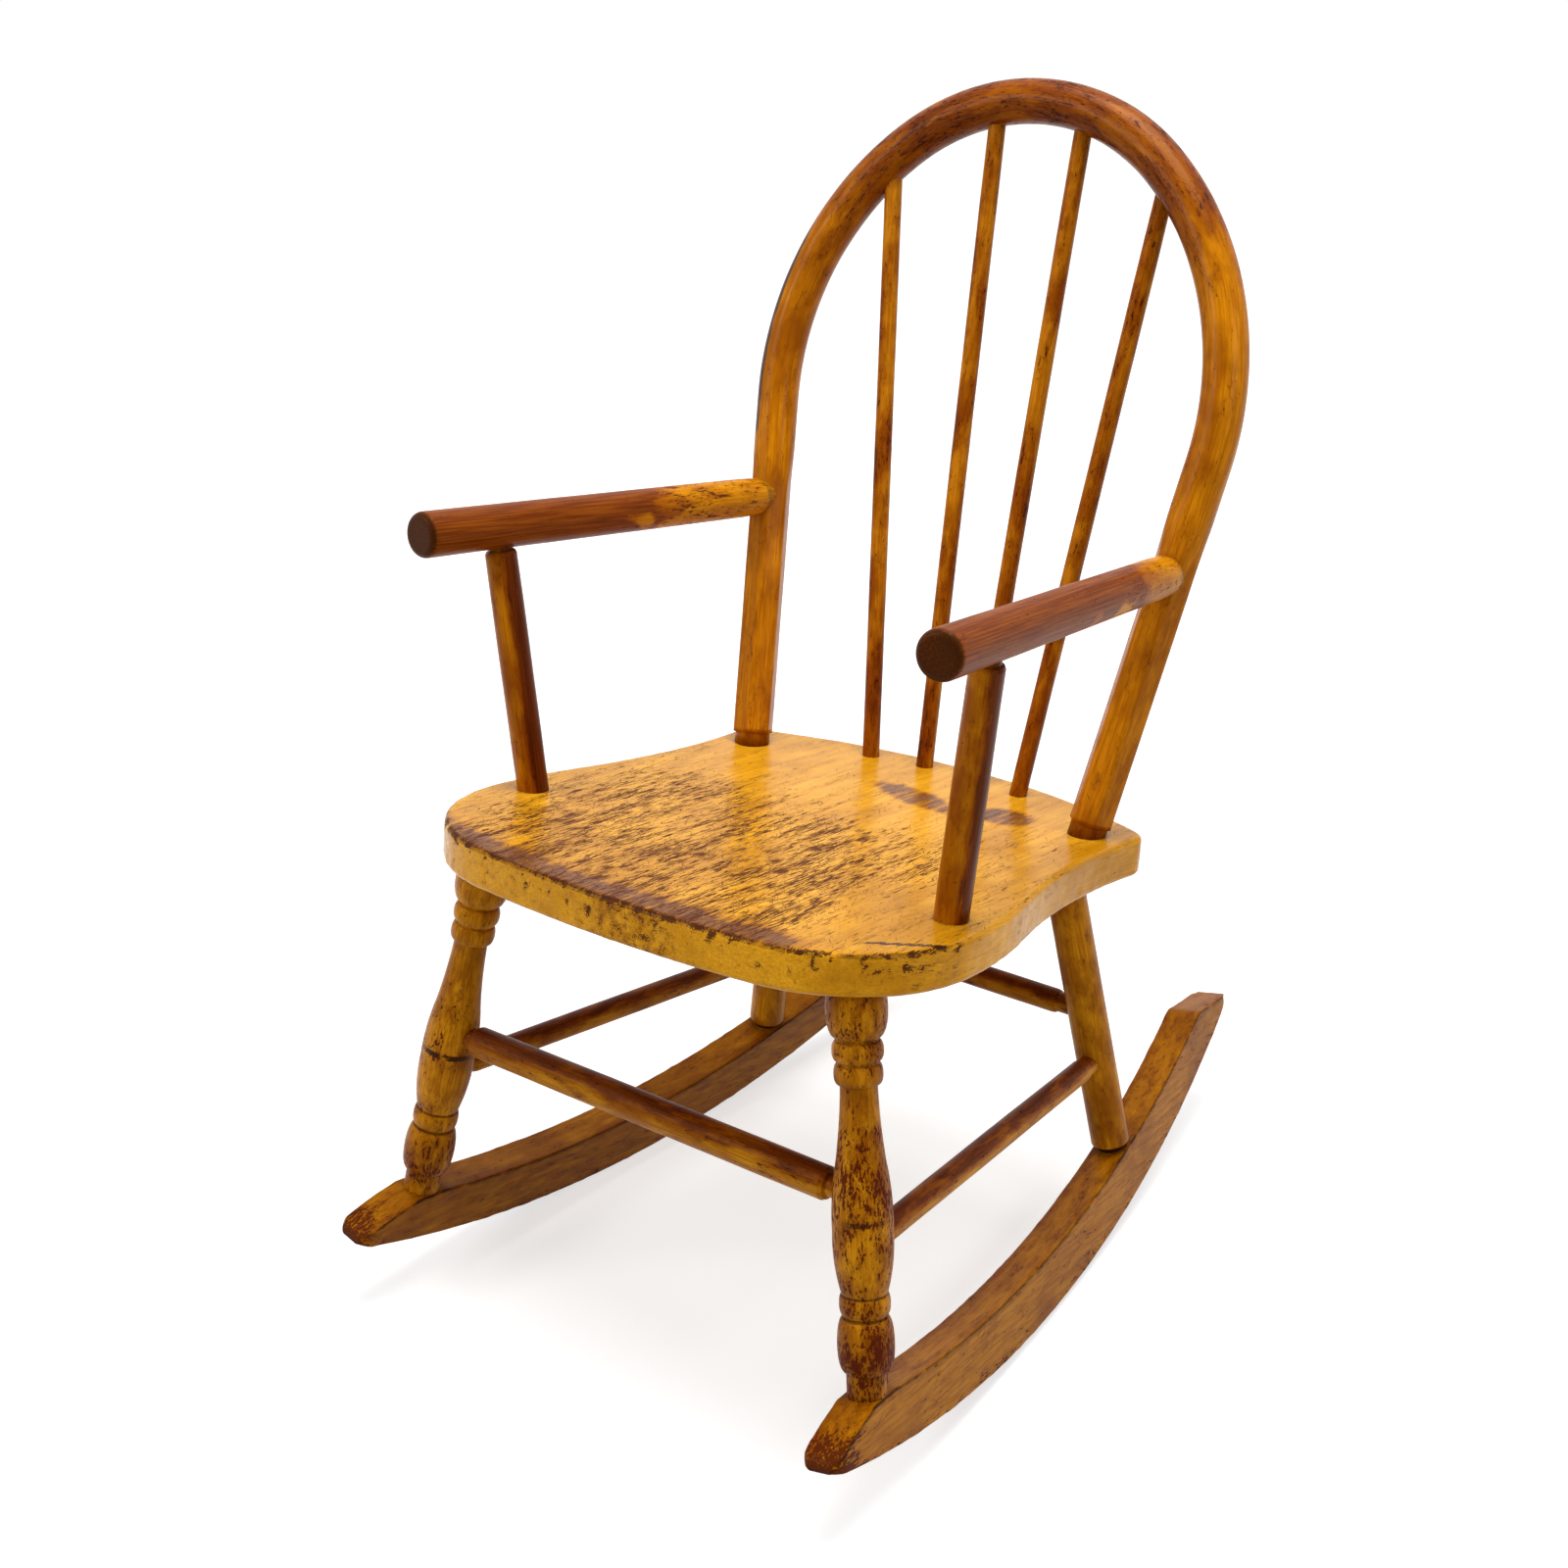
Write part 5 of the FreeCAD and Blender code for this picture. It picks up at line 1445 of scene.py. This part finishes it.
@dataclass(frozen=True)
class HoopBack:
    """The bent hoop, its legs shaved to six flats below the arms, and the four spindles."""

    seat_top: float = 248.5
    # The bent rod is round. Its legs have six flats, which fade out where the arms meet them.
    rod_radius: float = 11.6
    flat_reach: float = 10.3
    flats_turn: float = 7.0
    flats_fade: Band = (138.0, 168.0)
    # The narrower collar just above the seat, which ends at the foot, and how the plane leans back.
    collar_radius: float = 9.8
    foot_spread: float = 110.5
    foot_back: float = 100.5
    foot_height: float = 6.0
    lean_degrees: float = 10.9
    # The bow in its plane: straight legs, an arc up each side from the spring, and the crown.
    half_width: float = 136.0
    spring_height: float = 215.0
    rise: float = 151.5
    crown_radius: float = 122.0
    spindle_radius: float = 4.75
    # Which spindle, side, distances across and back at the seat, and distance across at the hoop.
    spindles: tuple[tuple[str, Side, float, float, float], ...] = (
        ("inner", Side.LEFT, 16.4, 138.8, 27.3), ("inner", Side.RIGHT, 16.4, 138.8, 25.5),
        ("outer", Side.LEFT, 48.8, 132.4, 81.5), ("outer", Side.RIGHT, 48.8, 132.4, 85.5),
    )
    # The rod is uneven by this much over this length.
    waver: float = 0.15
    waver_width: float = 40.0
    # A dark streak down the far side of the hoop, above the flats, on the side that faces this way.
    streak_facing: Triple = (-0.7, -0.7, 0.12)
    # Rings of the collar, by their depth below the foot. The lowest is hidden in the seat.
    collar_rings: tuple[float, ...] = (9.0, 1.2, 0.4)
    segments: int = 48
    step: float = 2.5

    def plane(self) -> Matrix:
        """The hoop's own frame: X across, Y to the rear, Z up along its leaning plane."""
        start = Matrix.Translation((0, self.foot_back, self.seat_top))
        return start @ Matrix.Rotation(math.radians(-self.lean_degrees), 4, "X")

    def side_radius(self) -> float:
        """Find the arcs between the crown and the straight legs.

        Returns:
            Their radius.
        """
        drop = self.rise - self.crown_radius
        spare = self.half_width - self.crown_radius
        return (self.half_width ** 2 + drop ** 2 - self.crown_radius ** 2) / (2 * spare)

    def leg_lean(self) -> float:
        """Find how far the straight legs lean.

        Returns:
            The angle between a leg and the upright of the hoop's plane.
        """
        radius = self.side_radius()
        across = self.foot_spread - (self.half_width - radius)
        down = self.spring_height - self.foot_height
        return math.asin(radius / math.hypot(across, down)) - math.atan2(across, down)

    def path(self) -> list[tuple[float, Vector, float]]:
        """Bend the rod's centre line from the left foot over the crown to the right foot.

        Returns:
            Distance along, place in the hoop's plane, and heading angle from X, per point.
        """
        radius = self.side_radius()
        lean = self.leg_lean()
        low_centre = Vector((self.half_width - radius, self.spring_height))
        top_centre = Vector((0, self.spring_height + self.rise - self.crown_radius))
        turn = math.atan2(self.rise - self.crown_radius, radius - self.half_width)
        foot = Vector((self.foot_spread, self.foot_height))
        meet = low_centre + Vector((math.cos(-lean), math.sin(-lean))) * radius
        upward = (meet - foot).normalized()
        heading = math.atan2(upward.y, upward.x)
        count = round((meet - foot).length / self.step)
        half = [(foot - upward * depth, heading) for depth in self.collar_rings]
        half += [(foot + (meet - foot) * (index / count), heading) for index in range(count)]
        arcs = ((low_centre, radius, -lean, turn), (top_centre, self.crown_radius, turn, math.pi / 2))
        for centre, reach, start, end in arcs:
            count = round((end - start) * reach / self.step)
            for index in range(count):
                angle = start + (end - start) * index / count
                outward = Vector((math.cos(angle), math.sin(angle)))
                half.append((centre + outward * reach, angle + math.pi / 2))
        whole = half + [(top_centre + Vector((0, self.crown_radius)), math.pi)]
        whole += [(Vector((-place.x, place.y)), 2 * math.pi - heading) for place, heading in reversed(half)]
        path = []
        distance = 0.0
        for index, (place, heading) in enumerate(whole):
            distance += (place - whole[index - 1][0]).length if index else 0.0
            path.append((distance, place, heading))
        return path

    def section_radius(self, angle: float, height: float) -> float:
        """Find the rod's radius towards one side: round above, shaved to six flats below.

        Args:
            angle: The direction round the rod.
            height: Distance above the seat in the hoop's plane.

        Returns:
            The radius, which is the collar's just above the seat.
        """
        if height < self.foot_height - 0.3:
            return self.collar_radius
        turned = (math.degrees(angle) - self.flats_turn) % 60 - 30
        shaved = min(self.rod_radius, self.flat_reach / math.cos(math.radians(turned)))
        return shaved + (self.rod_radius - shaved) * ramp(height, *self.flats_fade)

    def marks(self, place: Vector, outward: Vector, point: Vector) -> Vector:
        """How worn, soiled and chipped the hoop is at one point.

        Args:
            place: Where the rod's centre lies in the hoop's plane.
            outward: The direction in which the point faces, in the chair's frame.
            point: The point in the chair's frame.

        Returns:
            The three marks.
        """
        patchy = patch(point, 34, 2.0)
        crown = ramp(place.y, 250, 345)
        socket = ramp(place.y, 9.0, 6.0)
        wear = 0.1 + 0.42 * crown + 0.3 * patchy + 0.3 * socket
        soil = 0.28 * socket + 0.35 * ramp(place.y, 1.2, 0.2)
        if place.x < -100:
            streak = ramp(outward.dot(Vector(self.streak_facing)), 0.88, 0.96)
            length = ramp(place.y, 158, 170) * ramp(place.y, 305, 270)
            soil += 1.1 * streak * length * ramp(patch(point, 16, 8.0), 0.2, 0.4)
        chips = 0.15 + 0.35 * patchy + 0.45 * crown
        return Vector((wear, soil, chips))

    def hoop_rings(self) -> list[list[Spot]]:
        """Lay rings of points along the hoop.

        Returns:
            The rings, from the left foot to the right foot.
        """
        plane = self.plane()
        turn = plane.to_3x3()
        rear = Vector((0, 1, 0))
        rings = []
        for distance, place, heading in self.path():
            outward = Vector((math.sin(heading), 0, -math.cos(heading)))
            centre = Vector((place.x, 0, place.y))
            ring = []
            for index in range(self.segments):
                angle = math.radians(self.flats_turn) + 2 * math.pi * index / self.segments
                radius = self.section_radius(angle, place.y)
                facing = outward * math.cos(angle) + rear * math.sin(angle)
                uneven = noise.noise((centre + facing * radius) / self.waver_width) * self.waver
                point = plane @ (centre + facing * (radius + uneven))
                wood = Vector((math.cos(angle) * radius, math.sin(angle) * radius, distance))
                ring.append(Spot(point, wood, self.marks(place, turn @ facing, point)))
            rings.append(ring)
        return rings

    def crown_point(self, spread: float) -> Vector:
        """Find the rod's centre on the bow.

        Args:
            spread: Distance to the left of the middle.

        Returns:
            The point in the chair's frame.
        """
        height = self.spring_height + self.rise - self.crown_radius
        height += math.sqrt(self.crown_radius ** 2 - spread ** 2)
        return self.plane() @ Vector((spread, 0, height))

    def arm_point(self, side: Side, height: float) -> Vector:
        """Find the rod's centre where the arm meets it.

        Args:
            side: Which arm.
            height: Its height above the seat.

        Returns:
            The point in the chair's frame.
        """
        up = height / math.cos(math.radians(self.lean_degrees))
        spread = self.foot_spread + (up - self.foot_height) * math.tan(self.leg_lean())
        return self.plane() @ Vector((side.value * spread, 0, up))

    def spindle_marks(self, seed: float, length: float, along: float, _outward: Vector,
                      place: Vector) -> Vector:
        """Mark a spindle: rubbed in long streaks, dark at both sockets.

        Args:
            seed: Which pattern to read.
            length: The spindle's length.
            along: Distance above the seat.
            place: The point in the chair's frame.

        Returns:
            The three marks.
        """
        streaky = patch(Vector((place.x * 2, place.y * 2, place.z / 2.5)), 22, seed)
        ends = max(ramp(along, 4.5, 1.0), ramp(length - along, 17, 12))
        wear = 0.06 + 0.6 * streaky + 0.15 * ramp(along, 130, 40)
        return Vector((wear, 0.35 * ends, 0.3 + 0.5 * streaky))

    def build(self, shop: Paintshop) -> None:
        """Build the hoop and its spindles.

        Args:
            shop: Where the finish is made.
        """
        skin("hoop", self.hoop_rings(), shop.material(Finish.HOOP))
        radius = self.spindle_radius
        for seed, (which, side, spread, back, top_spread) in enumerate(self.spindles, start=40):
            base = Vector((side.value * spread, back, self.seat_top))
            top = self.crown_point(side.value * top_spread)
            length = (top - base).length
            outline = [(-5.0, radius), (length * 0.4, radius + 0.12), (length, radius - 0.1)]
            rule = partial(self.spindle_marks, seed, length)
            rod = Turning(base, top, outline, rule, seed, segments=28, step=3.0)
            skin(f"spindle_{which}_{side.word}", rod.rings(), shop.material(Finish.SPINDLE))


@dataclass(frozen=True)
class ArmRests:
    """The round arms and the straight posts that carry them."""

    back: HoopBack
    # The arm: its height above the seat, its front end, and its taper towards the hoop.
    height: float = 137.5
    front_spread: float = 151.0
    front_forward: float = 124.5
    radius: float = 11.5
    rear_radius: float = 10.75
    tip_radius: float = 8.0
    tip_length: float = 22.0
    end_round: float = 3.5
    # The post, which leans out and forward from the seat to the arm.
    post_radius: float = 8.25
    post_spread: float = 130.0
    post_forward: float = 59.5
    post_top_forward: float = 75.0

    def arm_outline(self, length: float) -> Outline:
        """Draw a rounded front end, a slight taper, and a quicker taper into the hoop.

        Args:
            length: From the front end to the hoop's centre.

        Returns:
            Distance along and radius, from the front.
        """
        outline: Outline = [(0.0, 0.6), (0.0, self.radius * 0.35)]
        for angle in quarter_turn(6):
            across = self.radius - self.end_round + self.end_round * math.sin(angle)
            outline.append((self.end_round * (1 - math.cos(angle)), across))
        outline.append((length - self.tip_length - self.end_round, self.rear_radius))
        outline.append((length - self.tip_length * 0.6, self.rear_radius - 0.5))
        outline.append((length, self.tip_radius))
        return outline

    def post_outline(self, height: float) -> Outline:
        """Draw a straight post, with a rounded shoulder and a tenon under the arm.

        Args:
            height: From the seat to the arm's axis.

        Returns:
            Distance above the seat and radius, from below.
        """
        radius = self.post_radius
        return [
            (-4.0, radius), (height * 0.5, radius + 0.1), (height - 14.0, radius - 0.1),
            (height - 12.6, radius - 0.7), (height - 11.6, radius - 2.2), (height - 2.0, 5.0),
        ]

    def arm_marks(self, side: Side, length: float, along: float, outward: Vector,
                  place: Vector) -> Vector:
        """Mark an arm: bare where the hand rests, with paint left below and towards the hoop.

        Args:
            side: Which arm.
            length: The arm's length.
            along: Distance from its front end.
            outward: The direction in which the surface faces.
            place: The point in the chair's frame.

        Returns:
            The three marks.
        """
        bare = length * (0.78 if side is Side.LEFT else 0.62)
        patchy = patch(place, 22, 30.0 + side.value)
        under = ramp(outward.z, 0.4, -0.3) * ramp(along, length * 0.4, length * 0.62)
        wear = 0.25 + 0.6 * ramp(along, bare + 22, bare - 22) + 0.2 * patchy
        wear -= 0.75 * under * ramp(patch(place, 13, 31.0), 0.35, 0.6)
        end = ramp(along, 3.4, 1.0)
        joint = ramp(length - along, 15.0, 12.0)
        soil = 0.62 * end + 0.3 * ramp(along, 16, 2) * patchy + 0.12 * patchy + 0.5 * joint
        chips = 0.4 + 0.8 * patchy * ramp(along, bare - 40, bare)
        return Vector((wear, soil, chips))

    def post_marks(self, side: Side, length: float, along: float, outward: Vector,
                   place: Vector) -> Vector:
        """Mark a post: a long dark stripe down the side that faces away from the key softbox, partly rubbed
        and partly painted shade, and dark at both ends.

        Args:
            side: Which post.
            length: The post's height.
            along: Distance above the seat.
            outward: The direction in which the surface faces.
            place: The point in the chair's frame.

        Returns:
            The three marks.
        """
        patchy = patch(Vector((place.x * 1.5, place.y * 1.5, place.z / 2)), 20, 34.0 + side.value)
        # Painted shade with some rubbing: the same side of both posts, turned away from the key softbox, is
        # worn darker.
        stripe = ramp(outward.dot(Vector((0.9, 0.4, 0))), 0.1, 0.8)
        ends = max(ramp(along, 2.0, 0.3), ramp(length - along, 13.5, 11.5))
        return Vector((0.16 + 0.5 * stripe + 0.35 * patchy, 0.5 * ends, 0.2 + 0.3 * patchy))

    def build(self, shop: Paintshop) -> None:
        """Build both arms and both posts.

        Args:
            shop: Where the finish is made.
        """
        seat_top = self.back.seat_top
        for side in Side:
            front = Vector((side.value * self.front_spread, -self.front_forward, seat_top + self.height))
            rear = self.back.arm_point(side, self.height)
            length = (rear - front).length
            rule = partial(self.arm_marks, side, length)
            arm = Turning(front, rear, self.arm_outline(length), rule, 30.0 + side.value, segments=52)
            skin(f"arm_{side.word}", arm.rings(), shop.material(Finish.ARM))
            top = front + (rear - front) * ((-self.post_top_forward - front.y) / (rear.y - front.y))
            base = Vector((side.value * self.post_spread, -self.post_forward, seat_top))
            height = (top - base).length
            rule = partial(self.post_marks, side, height)
            post = Turning(base, top, self.post_outline(height), rule, 34.0 + side.value, segments=40)
            skin(f"arm_post_{side.word}", post.rings(), shop.material(Finish.POST))


@dataclass(frozen=True)
class Studio:
    """A pale floor, soft lamps, a white surround, and the photograph's camera, in metres."""

    # The camera's place and axes, found by fitting the chair's corners to the photograph.
    camera_place: Triple = (0.62335, -0.86412, 0.709225)
    camera_right: Triple = (0.79561, 0.60565, -0.01347)
    camera_up: Triple = (-0.22685, 0.31848, 0.92039)
    camera_back: Triple = (0.56173, -0.72922, 0.39078)
    lens: float = 50.932
    sensor: float = 36.0
    floor_size: float = 8.0
    floor_grey: float = 0.55
    # To the eye the floor glows a little less near the chair, where its shadow lies, than far off.
    glow_reach: Band = (0.4, 1.6)
    glow: Band = (0.62, 0.98)
    room_light: float = 0.3
    aim_height: float = 0.28
    # Each lamp's name, place, side in metres and power in watts.
    lamps: tuple[tuple[str, Triple, float, float], ...] = (
        ("key_softbox", (-1.2, -1.7, 1.5), 1.0, 20.0),
        ("top_softbox", (0.1, 0.1, 2.1), 1.2, 43.0),
        ("fill_softbox", (1.7, -0.2, 1.2), 0.8, 9.5),
    )

    def camera(self) -> None:
        """Stand the camera where the photograph was taken from."""
        data = bpy.data.cameras.new("photo_camera")
        data.lens = self.lens
        data.sensor_width = self.sensor
        data.clip_start = 0.05
        camera = bpy.data.objects.new("photo_camera", data)
        axes = Matrix((self.camera_right, self.camera_up, self.camera_back)).transposed()
        camera.matrix_world = Matrix.Translation(self.camera_place) @ axes.to_4x4()
        bpy.context.scene.collection.objects.link(camera)
        bpy.context.scene.camera = camera

    def floor(self) -> None:
        """Lay the floor, white to the camera but for the chair's soft shadow."""
        shape = bmesh.new()
        bmesh.ops.create_grid(shape, x_segments=1, y_segments=1, size=self.floor_size)
        mesh = bpy.data.meshes.new("floor")
        shape.to_mesh(mesh)
        shape.free()
        material = bpy.data.materials.new("matt_white_paper")
        material.use_nodes = True
        tree = material.node_tree
        tree.nodes.clear()
        white = (1.0, 1.0, 1.0, 1.0)
        grey = (self.floor_grey, self.floor_grey, self.floor_grey, 1.0)
        spot = add_node(tree, "ShaderNodeTexCoord", {}, ())
        away = add_node(tree, "ShaderNodeVectorMath", {"operation": "LENGTH"}, (spot.outputs["Object"],))
        lift = add_node(tree, "ShaderNodeMapRange", {}, (away.outputs["Value"], *self.glow_reach, *self.glow))
        paper = add_node(tree, "ShaderNodeBsdfDiffuse", {}, (grey,))
        glow = add_node(tree, "ShaderNodeEmission", {}, (white, lift.outputs[0]))
        both = add_node(tree, "ShaderNodeAddShader", {}, (paper.outputs[0], glow.outputs[0]))
        looks = (seen_by_eye(tree), paper.outputs[0], both.outputs[0])
        mixed = add_node(tree, "ShaderNodeMixShader", {}, looks)
        add_node(tree, "ShaderNodeOutputMaterial", {}, {"Surface": mixed.outputs[0]})
        mesh.materials.append(material)
        floor = bpy.data.objects.new("floor", mesh)
        bpy.context.scene.collection.objects.link(floor)

    def surround(self) -> None:
        """Fill the room with soft white light."""
        world = bpy.data.worlds.new("white_room")
        bpy.context.scene.world = world
        world.use_nodes = True
        tree = world.node_tree
        tree.nodes.clear()
        strengths = (seen_by_eye(tree), 0.0, 1.0, self.room_light, 1.0)
        strength = add_node(tree, "ShaderNodeMapRange", {}, strengths)
        back = add_node(tree, "ShaderNodeBackground", {}, ((1.0, 1.0, 1.0, 1.0), strength.outputs[0]))
        add_node(tree, "ShaderNodeOutputWorld", {}, {"Surface": back.outputs[0]})

    def lamp(self, name: str, place: Triple, size: float, power: float) -> None:
        """Hang one square softbox that faces the chair.

        Args:
            name: The lamp's name.
            place: Where it hangs, in metres.
            size: The length of its side, in metres.
            power: Its power in watts.
        """
        data = bpy.data.lights.new(name, "AREA")
        data.size = size
        data.energy = power
        lamp = bpy.data.objects.new(name, data)
        aim = Vector((0, 0, self.aim_height)) - Vector(place)
        lamp.location = place
        lamp.rotation_euler = aim.to_track_quat("-Z", "Y").to_euler()
        bpy.context.scene.collection.objects.link(lamp)

    def build(self) -> None:
        """Set up the floor, the light and the camera."""
        self.camera()
        self.floor()
        self.surround()
        for lamp in self.lamps:
            self.lamp(*lamp)
        bpy.context.scene.view_settings.view_transform = "Standard"


def main() -> None:
    """Build the chair and its studio."""
    logging.basicConfig(level=logging.INFO, format="%(message)s")
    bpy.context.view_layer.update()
    shop = Paintshop()
    rocker_shape = RockerShape()
    legs = Legs(rocker_shape)
    back = HoopBack()
    for assembly in (SeatPlank(), back, ArmRests(back), legs, Stretchers(legs), Rockers(rocker_shape)):
        LOG.info("building %s", type(assembly).__name__)
        assembly.build(shop)
    Studio().build()


if __name__ == "__main__":
    main()
